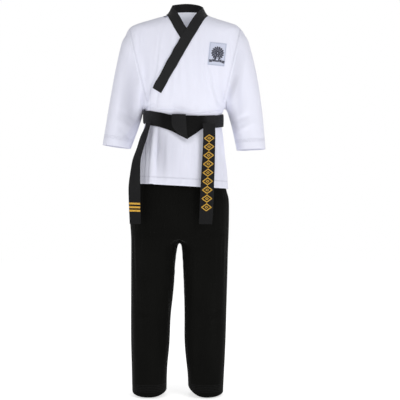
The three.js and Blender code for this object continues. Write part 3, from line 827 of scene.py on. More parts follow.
cut(jacket, NECK_POINT, NECK_NORMAL, True)
for arm in ARMS:
    cut(jacket, arm.point, arm.outward, False)
cut(jacket, (0, 0, 0), (0, 1, 0), False)
OVER_EDGE = [(-0.128, -0.248), (-0.146, -0.330), (-0.152, -0.63)]
for (x_a, z_a), (x_b, z_b) in zip(OVER_EDGE, OVER_EDGE[1:]):
    cut(jacket, (x_a, 0, z_a), Vector((z_a - z_b, 0, x_b - x_a)).normalized(), False)


def under_region(x, z):
    """The under panel: left of its band, and on behind the over panel."""
    return x < np.interp(z, [-0.64, -0.234, -0.045, 0.03], [0.098, 0.074, -0.012, -0.060])


def over_region(x, z):
    """The over panel: right of its band and of its free edge."""
    return x > np.interp(z, [-0.63, -0.330, -0.248, -0.072, -0.032, 0.03],
                         [-0.152, -0.146, -0.1285, -0.010, 0.013, 0.061])


back = keep(jacket, "back_panel", lambda x, y, z: (y > 0) & ~is_arm(x, z))
under = keep(jacket, "front_under", lambda x, y, z: (y < 0) & ~is_arm(x, z) & under_region(x, z))
over = keep(jacket, "front_over", lambda x, y, z: (y < 0) & ~is_arm(x, z) & over_region(x, z))
sleeves = {}
for arm in ARMS:
    sleeves[arm.label] = keep(jacket, f"sleeve_{arm.label}_cloth", lambda x, y, z: arm.holds(x, z))


def lift_over(made):
    """Lays the over panel on the cloth under it, and lets it down to its seams."""
    points = coordinates(made)
    from_side = ramp(-points[:, 1], 0.0, 0.030)
    from_arm = ramp(ARM_RIGHT.seam - points @ np.array(ARM_RIGHT.outward), 0.0, 0.030)
    from_arm = np.where(points[:, 2] < -0.30, 1, from_arm)
    lift = PANEL_LIFT * from_side * from_arm
    set_coordinates(made, points + normals(made) * lift[:, None])
    belt_squeeze(made, PANEL_LIFT)


lift_over(over)

VENT_TOP = -0.490
VENT_PART = 0.0035
VENT_FLARE = 0.005


def open_vents(made, ahead):
    """Parts the side seam's edges below the top of the vents."""
    points = coordinates(made)
    near = 1 - ramp(np.abs(points[:, 1]), 0.0, 0.02)
    below = ramp(VENT_TOP - points[:, 2], 0.0, 0.08)
    points[:, 1] += ahead * VENT_PART * near * below
    side = np.sign(points[:, 0] - WAIST_X)
    points[:, 0] += side * VENT_FLARE * ramp(0.060 - np.abs(points[:, 1]), 0.0, 0.055) * below
    set_coordinates(made, points)


LINING_HALF = 0.112
LINING_FOOT = -0.150
LINING_GAP = 0.0012


def keep_lining():
    """The second layer of cloth inside the back across the shoulders."""
    lining = keep(jacket, "shoulder_lining", lambda x, y, z: (
        (y > 0.004) & (np.abs(x) < LINING_HALF) & (z > LINING_FOOT)))
    points = coordinates(lining)
    set_coordinates(lining, points - normals(lining) * (CLOTH_THICK + LINING_GAP))
    return lining


lining = keep_lining()
open_vents(back, 1)
open_vents(under, -1)
open_vents(over, -1)

HEM_ROW = (tuple(HEM_NORMAL), HEM_NORMAL.dot(HEM_POINT), (0.021, 0.0235), (1, 1, 0), -1)
SIDE_ROW = ((0, 1, 0), 0.0, (0.006, -0.006), (0, 0, 1), -1)


def arm_rows(arm):
    run = arm.outward.cross(Vector((0, 1, 0)))
    return (tuple(arm.outward), arm.seam, (-0.007, -0.010), tuple(run + Vector((0, 1, 0))), arm.point.z)


def cuff_rows(arm):
    places = tuple(-0.02 - 0.0045 * i for i in range(3))
    return (tuple(arm.cuff_normal), arm.cuff_normal.dot(arm.cuff_point), places, (0.3, 1, 0.3), -1)


EDGE_TOP, EDGE_END = (Vector((x, 0, z)) for x, z in OVER_EDGE[1:])
EDGE_NORMAL = (EDGE_END - EDGE_TOP).normalized().cross(Vector((0, 1, 0)))
if EDGE_NORMAL.x < 0:
    EDGE_NORMAL.negate()
EDGE_ROW = (tuple(EDGE_NORMAL), EDGE_NORMAL.dot(EDGE_TOP), (0.012,), (0, 0, 1), -1)

body_look = white_cloth("white_cloth_body", [HEM_ROW, SIDE_ROW, arm_rows(ARM_LEFT), arm_rows(ARM_RIGHT)])
SLEEVE_BEND = (0.003, 0.085)  # two reaches past the sleeve's seam, from which a start and an end are worked out but not used
# Painted shade, greyed into the white cloth where the skirt's fold under the belt and the sleeves' inner
# sides lie in shadow: from, to, half width, share.
SKIRT_PAINTED_SHADE = (((-98, -372), (-88, -590), 22, 0.42), ((-72, -372), (-62, -620), 48, 0.20))
SLEEVE_PAINTED_SHADE = {
    "left": (((-194, -130), (-234, -470), 38, 0.42), ((-214, -330), (-176, -400), 20, 0.16)),
    "right": (((192, -110), (168, -330), 28, 0.26), ((164, -310), (184, -440), 16, 0.22),
              ((184, -206), (156, -300), 13, 0.34)),
}
over_look = white_cloth("white_cloth_over", [HEM_ROW, SIDE_ROW, arm_rows(ARM_RIGHT), EDGE_ROW], SKIRT_PAINTED_SHADE)
for piece, node, look in ((back, "jacket_back_panel", body_look), (under, "jacket_front_under", body_look),
                          (over, "jacket_front_over", over_look)):
    sew(piece, look, CLOTH_THICK)
    attach(piece, "torso", "white_cloth", node)
for arm in ARMS:
    piece = sleeves[arm.label]
    look = white_cloth(f"white_cloth_sleeve_{arm.label}", [cuff_rows(arm)], SLEEVE_PAINTED_SHADE[arm.label])
    sew(piece, look, CLOTH_THICK)
    start, end = (arm.outward * (arm.seam + reach) for reach in SLEEVE_BEND)
    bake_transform(piece)
    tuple(start)
    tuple(end)
    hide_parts(f"sleeve_{arm.label}")
# The lining's white is set lighter than the body cloth's, which is painted light against the shade inside the
# collar, and it also glows.
lining_look = plain_weave("white_cloth_lining", (0.86, 0.88, 0.97), (0.93, 0.95, 1.0), 0.85)
LINING_PAINTED_GLOW = 0.22  # painted light: the lining glows to lift the shade inside the collar
lining_shader = lining_look.node_tree.nodes["Principled BSDF"]
lining_shader.inputs["Emission Color"].default_value = (0.86, 0.88, 0.97, 1)
lining_shader.inputs["Emission Strength"].default_value = LINING_PAINTED_GLOW
sew(lining, lining_look, 0.0008)
attach(lining, "torso", "white_cloth", "shoulder_yoke_lining")
bpy.data.objects.remove(jacket)


# ---- Trousers ----------------------------------------------------------------------------------

CROTCH_X = -0.030
CROTCH_RISE = 0.034  # draws the crotch up to a point from the form's rounded one
RISE_Z, RISE_HALF = -0.853, (0.024, 0.040)  # where it is drawn up, and how far to the side and down
TROUSER_TOP = -0.4432
TROUSER_HEM = -1.383
# Each leg's hem: its middle, half width, and the rise of its left and right corners.
HEM_CURVES = ((-0.138, 0.064, 0.012, 0.017), (0.070, 0.064, 0.026, 0.010))
HEM_LIFT = 0.0015
HEM_RISE_FROM, HEM_RISE_TO = -1.25, -1.37  # heights between which the legs take up their hems' curves
GUSSET_HALF = (0.046, 0.078)
GUSSET_Y = 0.002
GUSSET_TOP, GUSSET_FOOT = -0.79, -0.900

TROUSER_FOLDS = [
    ((-34, -700), (-58, -860), 5, 12), ((-26, -760), (22, -880), 4, 12),
    ((-60, -800), (-150, -760), 4, 16), ((0, -800), (96, -760), 4, 16),
    ((-150, -860), (-146, -1340), 6, 16), ((-110, -900), (-116, -1380), -6, 17),
    ((-86, -1000), (-96, -1380), 4, 12), ((-182, -900), (-178, -1300), 4, 15),
    ((40, -880), (44, -1360), 6, 15), ((78, -900), (74, -1380), -6, 17),
    ((112, -880), (106, -1340), 5, 14), ((-190, -1060), (-110, -1084), 5, 13),
    ((-180, -1096), (-100, -1078), -4, 12), ((132, -1060), (56, -1086), 5, 13),
    ((126, -1100), (50, -1082), -4, 12), ((-170, -700), (-176, -830), 4, 14),
    ((110, -700), (118, -840), 4, 14), ((-190, -1360), (-110, -1375), 3, 9),
    ((20, -1362), (110, -1374), 3, 9),
]
TROUSER_BACK_FOLDS = [
    ((-34, -740), (-60, -900), 6, 13), ((-26, -740), (4, -900), 6, 13),
    ((-60, -830), (-160, -800), 6, 14), ((0, -830), (110, -800), 6, 14),
    ((-66, -860), (-170, -850), -5, 14), ((6, -860), (120, -850), -5, 14),
    ((-140, -900), (-142, -1360), 6, 17), ((-100, -900), (-108, -1360), -5, 16),
    ((40, -900), (46, -1360), 6, 17), ((90, -900), (86, -1360), -5, 16),
    ((-190, -1070), (-90, -1100), 5, 12), ((130, -1070), (30, -1100), 5, 12),
]


def drape_trousers():
    cloth = trouser_form("trousers", 0, 0.0075, 6)
    cut(cloth, (0, 0, TROUSER_HEM), (0, 0, -1), True)
    cut(cloth, (0, 0, TROUSER_TOP), (0, 0, 1), True)
    points = coordinates(cloth)
    aside = (points[:, 0] - CROTCH_X) / RISE_HALF[0]
    below = (points[:, 2] - RISE_Z) / RISE_HALF[1]
    points[:, 2] += CROTCH_RISE * np.exp(-aside ** 2 - below ** 2)
    low = ramp(-points[:, 2], -HEM_RISE_FROM, -HEM_RISE_TO)
    for middle, half, left_rise, right_rise in HEM_CURVES:
        share = (points[:, 0] - middle) / half
        own = (points[:, 0] < CROTCH_X) if middle < CROTCH_X else (points[:, 0] > CROTCH_X)
        rise = np.where(share < 0, left_rise, right_rise) * np.abs(share) ** 2.5
        points[:, 2] += own * low * (HEM_LIFT + rise)
    set_coordinates(cloth, points)
    fold(cloth, TROUSER_FOLDS, True)
    fold(cloth, TROUSER_BACK_FOLDS, False)
    form = trouser_form("trousers_wearer", -10, 0.012, 4)
    pinned = ramp(coordinates(cloth)[:, 2], -0.60, -0.50)
    drape(cloth, form, pinned, 0.022, 16, 0.010)
    bpy.data.objects.remove(form)
    return cloth


def in_gusset(x, y, z):
    inside = np.abs(x - CROTCH_X) / GUSSET_HALF[0] + np.abs(y - GUSSET_Y) / GUSSET_HALF[1] < 1
    return inside & (z < GUSSET_TOP) & (z > GUSSET_FOOT)


trousers = drape_trousers()
cut(trousers, (0, 0, 0), (0, 1, 0), False)
cut(trousers, (CROTCH_X, 0, 0), (1, 0, 0), False)
cut(trousers, (0, 0, GUSSET_FOOT), (0, 0, 1), False)
for turn_x in (-1, 1):
    for turn_y in (-1, 1):
        corner = (CROTCH_X + turn_x * GUSSET_HALF[0], GUSSET_Y, 0)
        facing = Vector((turn_x * GUSSET_HALF[1], turn_y * GUSSET_HALF[0], 0)).normalized()
        cut(trousers, corner, facing, False)

LEG_X = {"left": -0.14, "right": 0.068}
LEG_BEND = (-0.874, -1.04)  # two heights on each leg, from which a start and an end are worked out but not used
HEM_ROWS = ((0, 0, 1), TROUSER_HEM, tuple(0.012 + 0.006 * i for i in range(5)), (1, 1, 0), -2)
trouser_look = black_cloth("black_cloth_trousers", [HEM_ROWS, SIDE_ROW])
gusset = keep(trousers, "gusset", in_gusset)
sew(gusset, trouser_look, CLOTH_THICK)
attach(gusset, "torso", "black_cloth", "crotch_gusset")
for label, side in (("left", -1), ("right", 1)):
    for face, ahead in (("front", -1), ("back", 1)):
        piece = keep(trousers, f"trouser_{label}_{face}", lambda x, y, z: (
            (side * (x - CROTCH_X) > 0) & (ahead * y > 0) & ~in_gusset(x, y, z)))
        sew(piece, trouser_look, CLOTH_THICK)
        start, end = ((LEG_X[label], 0, height) for height in LEG_BEND)
        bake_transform(piece)
        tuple(start)
        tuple(end)
        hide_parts(f"trouser_{label}_{face}_upper", f"trouser_{label}_{face}_leg")
bpy.data.objects.remove(trousers)


# ---- Strips of webbing and binding -------------------------------------------------------------

RIDGE_POWER = 0.6  # under 1, so that the rows of thread lie in narrow grooves


# The outlines of the collar, belt and patch are given in the plane y = 0, as they show from the camera.
def seen(x, z, y):
    """The place at depth y, in metres, that shows at (x, z) millimetres of the plane y = 0."""
    scale = (y - EYE.y) / -EYE.y
    return Vector((EYE.x + (x * MM - EYE.x) * scale, y, EYE.z + (z * MM - EYE.z) * scale))


def onto(x, z):
    """The place on the worn jacket that shows at (x, z) of the plane y = 0."""
    ray = (Vector((x * MM, 0, z * MM)) - EYE).normalized()
    return guide_tree.ray_cast(EYE, ray)[0]


def resampled(points, count):
    """Points evenly along a smooth curve through the given ones."""
    points = np.array([tuple(p) for p in points], dtype=float)
    at = path_length(points)
    dense = []
    for i in range(len(points) - 1):
        before = points[max(i - 1, 0)]
        after = points[min(i + 2, len(points) - 1)]
        gap = at[i + 1] - at[i]
        start = (points[i + 1] - before) / max(at[i + 1] - at[max(i - 1, 0)], 1e-9) * gap
        stop = (after - points[i]) / max(at[min(i + 2, len(points) - 1)] - at[i], 1e-9) * gap
        for t in np.linspace(0, 1, 24, endpoint=False):
            square, cube = t * t, t ** 3
            dense.append((2 * cube - 3 * square + 1) * points[i] + (cube - 2 * square + t) * start
                         + (3 * square - 2 * cube) * points[i + 1] + (cube - square) * stop)
    dense.append(points[-1])
    dense = np.array(dense)
    length = path_length(dense)
    wanted = np.linspace(0, length[-1], count)
    return np.stack([np.interp(wanted, length, dense[:, axis]) for axis in range(3)], 1)


def smoothed(grid, times, axis=0):
    """A grid of points averaged with its neighbours along one axis, its ends kept."""
    grid = np.moveaxis(grid.copy(), axis, 0)
    for _ in range(times):
        grid[1:-1] = (grid[:-2] + 2 * grid[1:-1] + grid[2:]) / 4
    return np.moveaxis(grid, 0, axis)


def sampled(grid, row, column):
    """The grid's point between rows and columns, and the row and column before it."""
    i, j = int(row), int(column)
    a, b = row - i, column - j
    low = grid[i, j] * (1 - a) * (1 - b) + grid[i + 1, j] * a * (1 - b)
    return low + grid[i, j + 1] * (1 - a) * b + grid[i + 1, j + 1] * a * b, i, j


def path_length(points):
    """The length along a line of points up to each of them."""
    return np.concatenate([[0], np.cumsum(np.linalg.norm(np.diff(points, axis=0), axis=1))])


def between(edge_a, edge_b, columns):
    """A grid that runs straight across from one edge to the other."""
    share = np.linspace(0, 1, columns)[None, :, None]
    return edge_a[:, None] * (1 - share) + edge_b[:, None] * share


def evened(grid, along, across):
    """A grid smoothed along its rows and across them, that many times."""
    return smoothed(smoothed(grid, along), across, 1)


def unit(vectors):
    return vectors / np.maximum(np.linalg.norm(vectors, axis=-1, keepdims=True), 1e-12)


def strip(name, grid, thick, look, outward, ridges=0, ridge=0.0, closed=False, bevel=0.0004):
    """A closed strip of cloth from its outer face: grid[along][across] of places, in metres.

    outward points roughly away from the cloth's back; ridges are stitched rows along the strip.
    """
    grid = np.array(grid, dtype=float)
    rows, columns = grid.shape[:2]
    along_step = np.roll(grid, -1, 0) - np.roll(grid, 1, 0) if closed else np.gradient(grid, axis=0)
    across_step = np.gradient(grid, axis=1)
    facing = unit(np.cross(along_step, across_step))
    outward = np.broadcast_to(np.array(outward, dtype=float), grid.shape)
    turned = (facing * outward).sum() < 0
    if turned:
        facing = -facing
    share = np.linspace(0, 1, columns)
    height = np.zeros(columns)
    if ridges:
        height = -ridge * (1 - np.abs(np.sin(np.pi * ridges * share)) ** RIDGE_POWER)
    front = grid + facing * height[None, :, None]
    back = grid - facing * thick
    count = rows * columns
    points = np.concatenate([front.reshape(-1, 3), back.reshape(-1, 3)])
    faces = []
    last = rows if closed else rows - 1

    def at(layer, row, column):
        return layer * count + (row % rows) * columns + column

    def quad(a, b, c, d):
        faces.append((a, b, c, d) if not turned else (d, c, b, a))

    right, foot = columns - 1, rows - 1
    for row in range(last):
        after = row + 1
        for column in range(right):
            beside = column + 1
            quad(at(0, row, column), at(0, after, column), at(0, after, beside), at(0, row, beside))
            quad(at(1, row, beside), at(1, after, beside), at(1, after, column), at(1, row, column))
        quad(at(0, after, 0), at(0, row, 0), at(1, row, 0), at(1, after, 0))
        quad(at(0, row, right), at(0, after, right), at(1, after, right), at(1, row, right))
    if not closed:
        for column in range(right):
            beside = column + 1
            quad(at(0, 0, column), at(0, 0, beside), at(1, 0, beside), at(1, 0, column))
            quad(at(0, foot, beside), at(0, foot, column), at(1, foot, column), at(1, foot, beside))
    made = new_mesh(name, points, faces)
    run = path_length(grid[:, columns // 2])
    width = np.linalg.norm(np.diff(grid, axis=1), axis=2).sum(axis=1).mean()
    across = np.tile(np.tile(share * width, rows), 2)
    along = np.tile(np.repeat(run, columns), 2)
    for label, values in (("across", across), ("along", along)):
        made.data.attributes.new(label, "FLOAT", "POINT").data.foreach_set("value", values)
    if bevel:
        rounded = made.modifiers.new("edge", "BEVEL")
        rounded.width = bevel
        rounded.segments = 2
        rounded.limit_method = "ANGLE"
        rounded.angle_limit = math.radians(50)
        apply_modifiers(made)
    return clothe(made, look)


# ---- Collar ------------------------------------------------------------------------------------

BAND_WIDTH = 0.039
BAND_THICK = 0.0022
BAND_COLUMNS = 41
SIDE_LEFT = (-0.066, 0.003, 0.042)
SIDE_RIGHT = (0.068, 0.004, 0.036)
band_look = band_cloth("black_band", 0.0049, 0.0125, 0.028)


def band_grid(places, rows, low, high, collar_side):
    """A band's outer face laid on the body, low metres off it at the side of the neck, high further down."""
    centre = resampled(places, rows)
    hits = [guide_tree.find_nearest(Vector(p)) for p in centre]
    centre = smoothed(np.array([hit[0] for hit in hits]), 10)
    facing = unit(smoothed(np.array([hit[1] for hit in hits]), 20))
    across = unit(np.cross(np.gradient(centre, axis=0), facing))
    if across[0, 2] > 0:
        across = -across
    grid = np.zeros((rows, BAND_COLUMNS, 3))
    normal = np.zeros_like(grid)
    for column, share in enumerate(np.linspace(-0.5, 0.5, BAND_COLUMNS)):
        for row in range(rows):
            wanted = Vector(centre[row] + across[row] * share * BAND_WIDTH)
            grid[row, column], normal[row, column], _, _ = guide_tree.find_nearest(wanted)
    normal = unit(evened(normal, 14, 14))
    grid = evened(grid, 14, 8)
    run = np.linspace(0, 1, rows)
    lift = low + (high - low) * ramp(run, 0.0, 0.30)
    grid += normal * lift[:, None, None]
    seam = collar_line(collar_side)
    return grid + (1 - ramp(run, 0.0, 0.16))[:, None, None] * (seam - grid[0])[None], normal


# The collar's edges around the back of the neck, from the left side to the right.
COLLAR_TOP = [
    (-57, 0, 62), (-54.5, 26, 69), (-38, 48, 76.5), (0, 58, 81), (38, 48, 74.5), (55, 26, 63.5), (59, 0, 55),
]
COLLAR_FOOT = [
    (-73, 3, 24.5), (-67, 34, 28), (-53, 62, 40), (0, 74, 46), (53, 62, 40), (73, 34, 27), (76.5, 3, 17),
]
BACK_ROWS = 90


def collar_back_grid():
    top = resampled(np.array(COLLAR_TOP) * MM, BACK_ROWS)
    foot = resampled(np.array(COLLAR_FOOT) * MM, BACK_ROWS)
    return between(top, foot, BAND_COLUMNS)


def collar_line(side):
    """The seam of a front band with the back one, from the collar's top edge to its foot."""
    return collar_back_grid()[0 if side < 0 else -1]


over_places = [SIDE_RIGHT, seen(60, 26, -0.030)]
over_places += [onto(x, z) for x, z in ((23, -20), (0, -55), (-50.7, -143), (-112, -257))]
under_places = [SIDE_LEFT, seen(-60.5, 33.5, -0.030)]
under_places += [onto(x, z) for x, z in ((-35, -9), (-9, -49), (28, -120), (66, -205))]
back_grid = collar_back_grid()
COLLAR = (
    ("collar_back", "collar_back_neck", (back_grid, back_grid - back_grid.mean(axis=(0, 1)))),
    ("collar_under", "collar_under_front", band_grid(under_places, 90, 0.0030, 0.0026, -1)),
    ("collar_over", "collar_over_front", band_grid(over_places, 110, 0.0030, 0.0066, 1)),
)
for name, node, (grid, outward) in COLLAR:
    piece = strip(name, grid, BAND_THICK, band_look, outward, 8, 0.0004)
    attach(piece, "torso", "collar_band", node)


# ---- Belt --------------------------------------------------------------------------------------

BELT_WIDTH = 0.0455
BELT_THICK = 0.0021
BELT_RIDGES = 9
BELT_COLUMNS = 46
BELT_STEPS = 240
BELT_SIDES = 0.0035  # how much further the turns of belt stand off at the waist's sides
# The loop, the knot's arms and the tails are copies of the belt's cloth with darker blacks, which paint in
# shade; the arms and tails also darken along part of their length, painted shade again.
belt_look = band_cloth("black_belt", 0.0050, 0.0118, 0.028)
loop_look = band_cloth("black_belt_loop", 0.0050, 0.0085, 0.020)
left_arm_look = band_cloth("black_belt_left_arm", 0.0050, 0.0100, 0.022, (0.010, 0.055))
right_arm_look = band_cloth("black_belt_right_arm", 0.0050, 0.0115, 0.026, (0.030, 0.056))
tail_look = band_cloth("black_belt_tails", 0.0050, 0.0085, 0.020, (0.22, 0.60))


def ring_place(turn, lift, height):
    reach = waist_reach(turn) + lift
    return np.stack([WAIST_X + reach * np.cos(turn), reach * np.sin(turn), belt_middle(turn) + height], -1)


def wrap(name, node, lift, drop, gap_turn):
    """One turn of belt around the waist; gap_turn moves its own small sag around."""
    turns = np.linspace(-np.pi, np.pi, BELT_STEPS, endpoint=False)
    turn, share = np.meshgrid(turns, np.linspace(0.5, -0.5, BELT_COLUMNS), indexing="ij")
    sag = 0.0012 * np.sin(3 * turn + gap_turn)
    belly = lift + 0.0009 * np.cos(np.pi * share) + 0.0005 * np.sin(5 * turn + gap_turn)
    belly = belly + BELT_SIDES * np.cos(turn) ** 2
    grid = ring_place(turn, belly, share * BELT_WIDTH + sag + drop)
    outward = np.stack([np.cos(turn), np.sin(turn), 0 * turn], -1)
    piece = strip(name, grid, BELT_THICK, belt_look, outward, BELT_RIDGES, 0.0004, closed=True)
    attach(piece, "torso", "belt_cloth", node)


wrap("belt_inner", "belt_inner_wrap", 0.0028, 0.0016, 0.6)
wrap("belt_outer", "belt_outer_wrap", 0.0056, -0.0004, 2.0)


def front_depth(x, lift):
    """The depth of the belt's front at x in metres, lift metres off the waist."""
    turn = np.arctan2(-0.6, np.asarray(x, dtype=float) - WAIST_X)
    for _ in range(30):
        reach = waist_reach(turn) + lift
        turn = -np.arccos(np.clip((x - WAIST_X) / reach, -0.98, 0.98))
    return (waist_reach(turn) + lift) * np.sin(turn)


def draped(name, node, upper, lower, rows, depth, look):
    """A strip between two outlines seen from the camera; depth(t, s) is its lift off the waist."""
    high = resampled([(x, 0, z) for x, z in upper], rows)
    low = resampled([(x, 0, z) for x, z in lower], rows)
    grid = np.zeros((rows, BELT_COLUMNS, 3))
    for row in range(rows):
        for column in range(BELT_COLUMNS):
            t, s = row / (rows - 1), column / (BELT_COLUMNS - 1)
            x, _, z = high[row] * (1 - s) + low[row] * s
            y = float(front_depth(seen(x, z, -0.11).x, depth(t, s)))
            grid[row, column] = seen(x, z, y)
    piece = strip(name, grid, BELT_THICK, look, (0, -1, 0), BELT_RIDGES, 0.0004)
    attach(piece, "torso", "belt_cloth", node)


def hump(t):
    return math.sin(math.pi * t)


def arm_lift(base, rise, power):
    """How far a knot's arm stands off the waist: base at its far end, rise more towards the knot."""
    return lambda t, s: base + rise * t ** power + 0.0035 * hump(s) * (0.5 + t) - 0.003 * t * s


def loop_lift(t, s):
    return 0.0215 + 0.0050 * hump(s) + 0.004 * hump(t) - 0.003 * t


# Each part of the knot: its upper and lower outline, how far it stands off the waist, and its cloth.
KNOT = (
    ("knot_left", "knot_arm_left",
     [(-134, -335), (-100, -340), (-72, -346), (-40, -349), (-14, -350.5)],
     [(-140, -387), (-104, -394), (-60, -409), (-34, -423), (-5, -437)],
     64, arm_lift(0.0078, 0.0110, 1.3), left_arm_look),
    ("knot_right", "knot_arm_right",
     [(104, -349), (74, -350), (54, -351), (24, -350), (-9, -350)],
     [(103, -399), (78, -398.5), (58, -400), (32, -418), (0, -438)],
     64, arm_lift(0.0082, 0.0085, 1.5), right_arm_look),
    ("knot_wrap", "knot_loop",
     [(-58, -345), (-60, -368), (-56, -393), (-36, -416), (-8, -436)],
     [(-6, -345), (-4.5, -370), (-3, -392), (-1, -414), (2.5, -439)],
     60, loop_lift, loop_look),
)
for part in KNOT:
    draped(*part)

# The tails hang from the knot: left and right edge, height, and each edge's depth in metres.
TAILS = {
    "right": [
        (58, 104, -380, -0.122, -0.112), (59, 104.7, -396, -0.1265, -0.118), (59, 105, -430, -0.131, -0.126),
        (57, 104, -480, -0.134, -0.131), (53.5, 102.7, -540, -0.137, -0.136),
        (50, 100.7, -600, -0.140, -0.139), (47.5, 98.7, -660, -0.1425, -0.1415),
        (45, 95.5, -716, -0.144, -0.143), (43.5, 93, -758, -0.144, -0.143),
    ],
    "left": [
        (-156, -138, -378, -0.076, -0.104), (-160, -142.5, -394, -0.080, -0.108),
        (-177, -152, -430, -0.086, -0.117), (-190, -165, -471, -0.093, -0.126),
        (-206, -176, -515, -0.106, -0.132), (-214.5, -177.5, -562, -0.119, -0.135),
        (-221, -177, -615, -0.126, -0.137), (-220.5, -176.5, -670, -0.130, -0.138),
        (-217, -175, -757, -0.131, -0.139),
    ],
}
TAIL_ROWS = 130


def tail_grid(stations):
    left = resampled([seen(x, z, depth) for x, _, z, depth, _ in stations], TAIL_ROWS)
    right = resampled([seen(x, z, depth) for _, x, z, _, depth in stations], TAIL_ROWS)
    grid = between(left, right, BELT_COLUMNS)
    wander = np.linspace(0, 1, TAIL_ROWS)[:, None]
    cup = np.linspace(-1, 1, BELT_COLUMNS)[None, :]
    grid[..., 1] += 0.0012 * np.sin(9 * wander + 2) * cup + 0.0010 * cup ** 2
    return grid


tails = {label: tail_grid(stations) for label, stations in TAILS.items()}
for label, grid in tails.items():
    piece = strip(f"tail_{label}", grid, BELT_THICK, tail_look, (0, -1, 0), BELT_RIDGES, 0.0004)
    attach(piece, f"tail_{label}", "belt_cloth", f"belt_tail_{label}")


# ---- Thread work -------------------------------------------------------------------------------

def thread(name, paths, half, high, place, look):
    """Raised satin stitch along flat paths: place(u, v) gives a point and the cloth's normal there.

    A path that comes back to its start is closed, and any other tapers at both ends.
    """
    section = 8
    turns = np.linspace(0, 2 * np.pi, section, endpoint=False)
    points, faces = [], []
    for path in paths:
        path = np.array(path, dtype=float)
        spots = [place(u, v) for u, v in path]
        middle = np.array([tuple(spot[0]) for spot in spots])
        up = unit(np.array([tuple(spot[1]) for spot in spots]))
        loop = np.linalg.norm(path[0] - path[-1]) < 1e-9
        if loop:
            middle, up = middle[:-1], up[:-1]
        step = np.roll(middle, -1, 0) - np.roll(middle, 1, 0) if loop else np.gradient(middle, axis=0)
        side = unit(np.cross(unit(step), up))
        first = len(points)
        rows = len(middle)
        for row in range(rows):
            taper = 1.0 if loop else 0.55 + 0.45 * min(1.0, min(row, rows - 1 - row) / 1.5)
            for turn in turns:
                points.append(middle[row] + side[row] * half * taper * math.cos(turn)
                              + up[row] * high * (0.35 + taper * 0.65 * math.sin(turn)))
        for row in range(rows if loop else rows - 1):
            after = (row + 1) % rows
            for k in range(section):
                n = (k + 1) % section
                faces.append((first + row * section + k, first + row * section + n,
                              first + after * section + n, first + after * section + k))
        if not loop:
            faces.append(tuple(first + k for k in range(section)))
            faces.append(tuple(first + (rows - 1) * section + k for k in reversed(range(section))))
    made = new_mesh(name, np.array(points), faces)
    with editing(made) as edit:
        bmesh.ops.recalc_face_normals(edit, faces=edit.faces)
    return clothe(made, look)


def arc(cx, cy, rx, ry, start, stop, count):
    turns = np.radians(np.linspace(start, stop, count))
    return [(cx + rx * math.cos(t), cy + ry * math.sin(t)) for t in turns]


LEAF_POINTS = 9


def leaf(x, y, turn, length, width):
    """A leaf's closed outline from its foot at (x, y), pointing along turn in degrees."""
    c, s = math.cos(math.radians(turn)), math.sin(math.radians(turn))
    side = [(length * t, width * math.sin(math.pi * t ** 0.8) / 2) for t in np.linspace(0, 1, LEAF_POINTS)]
    outline = side + [(a, -b) for a, b in reversed(side[1:-1])]
    outline.append(outline[0])
    return [(x + a * c - b * s, y + a * s + b * c) for a, b in outline]


def vein(x, y, turn, length):
    c, s = math.cos(math.radians(turn)), math.sin(math.radians(turn))
    return [(x + length * t * c, y + length * t * s) for t in (0.0, 0.3, 0.6, 0.9)]


# ---- Chest patch -------------------------------------------------------------------------------

PATCH_CENTRE = (110, -121.5)
PATCH_HALF = (31.5, 43)
PATCH_TURN = -0.105


def patch_place(u, v, lift=0.0):
    """A place on the patch, u across and v up from its middle in millimetres, and its normal."""
    c, s = math.cos(PATCH_TURN), math.sin(PATCH_TURN)
    base = onto(PATCH_CENTRE[0] + u * c - v * s, PATCH_CENTRE[1] + u * s + v * c)
    return base + PATCH_NORMAL * (PANEL_LIFT + lift), PATCH_NORMAL


PATCH_PROBES = ((-30, 0), (30, 0), (0, -40), (0, 40))
patch_left, patch_right, patch_low, patch_high = (
    onto(PATCH_CENTRE[0] + a, PATCH_CENTRE[1] + b) for a, b in PATCH_PROBES)
PATCH_NORMAL = (patch_right - patch_left).cross(patch_high - patch_low).normalized()
if PATCH_NORMAL.y > 0:
    PATCH_NORMAL.negate()

patch_us = np.linspace(-PATCH_HALF[0], PATCH_HALF[0], 29)
patch_vs = np.linspace(-PATCH_HALF[1], PATCH_HALF[1], 39)
patch_grid = np.array([[tuple(patch_place(u, v, 0.0013)[0]) for u in patch_us] for v in patch_vs])
patch_grid = evened(patch_grid, 6, 6)
patch_look = plain_weave("patch_cloth", (0.61, 0.64, 0.78), (0.69, 0.72, 0.85), 0.75)
patch = strip("chest_patch_cloth", patch_grid, 0.0012, patch_look, tuple(PATCH_NORMAL))


def patch_surface(u, v):
    """Reads the patch's own smoothed face at (u, v) millimetres from its middle."""
    column = np.clip((u / PATCH_HALF[0] + 1) / 2 * (len(patch_us) - 1), 0, len(patch_us) - 1.001)
    row = np.clip((v / PATCH_HALF[1] + 1) / 2 * (len(patch_vs) - 1), 0, len(patch_vs) - 1.001)
    return sampled(patch_grid, row, column)[0], tuple(PATCH_NORMAL)


STITCH_STEP = 4.0  # millimetres between the points of a path of thread, where no count is given


def round_path(corners, count=None):
    """The closed path round the corners, with count steps on each side."""
    path = []
    for (u_a, v_a), (u_b, v_b) in zip(corners, corners[1:] + corners[:1]):
        steps = count or int(max(abs(u_b - u_a), abs(v_b - v_a)) / STITCH_STEP)
        path += [(u_a + (u_b - u_a) * k / steps, v_a + (v_b - v_a) * k / steps) for k in range(steps)]
    return path + path[:1]


def rectangle(half_u, half_v):
    return round_path([(-half_u, -half_v), (half_u, -half_v), (half_u, half_v), (-half_u, half_v)])


border_look = thread_look("grey_thread", (0.34, 0.38, 0.50), (0.48, 0.52, 0.66), 0.0006, (1, 0, 1))
patch_border = thread("chest_patch_border", [rectangle(30.6, 42.1), rectangle(28.4, 39.9)], 0.0004, 0.0005,
                      patch_surface, border_look)

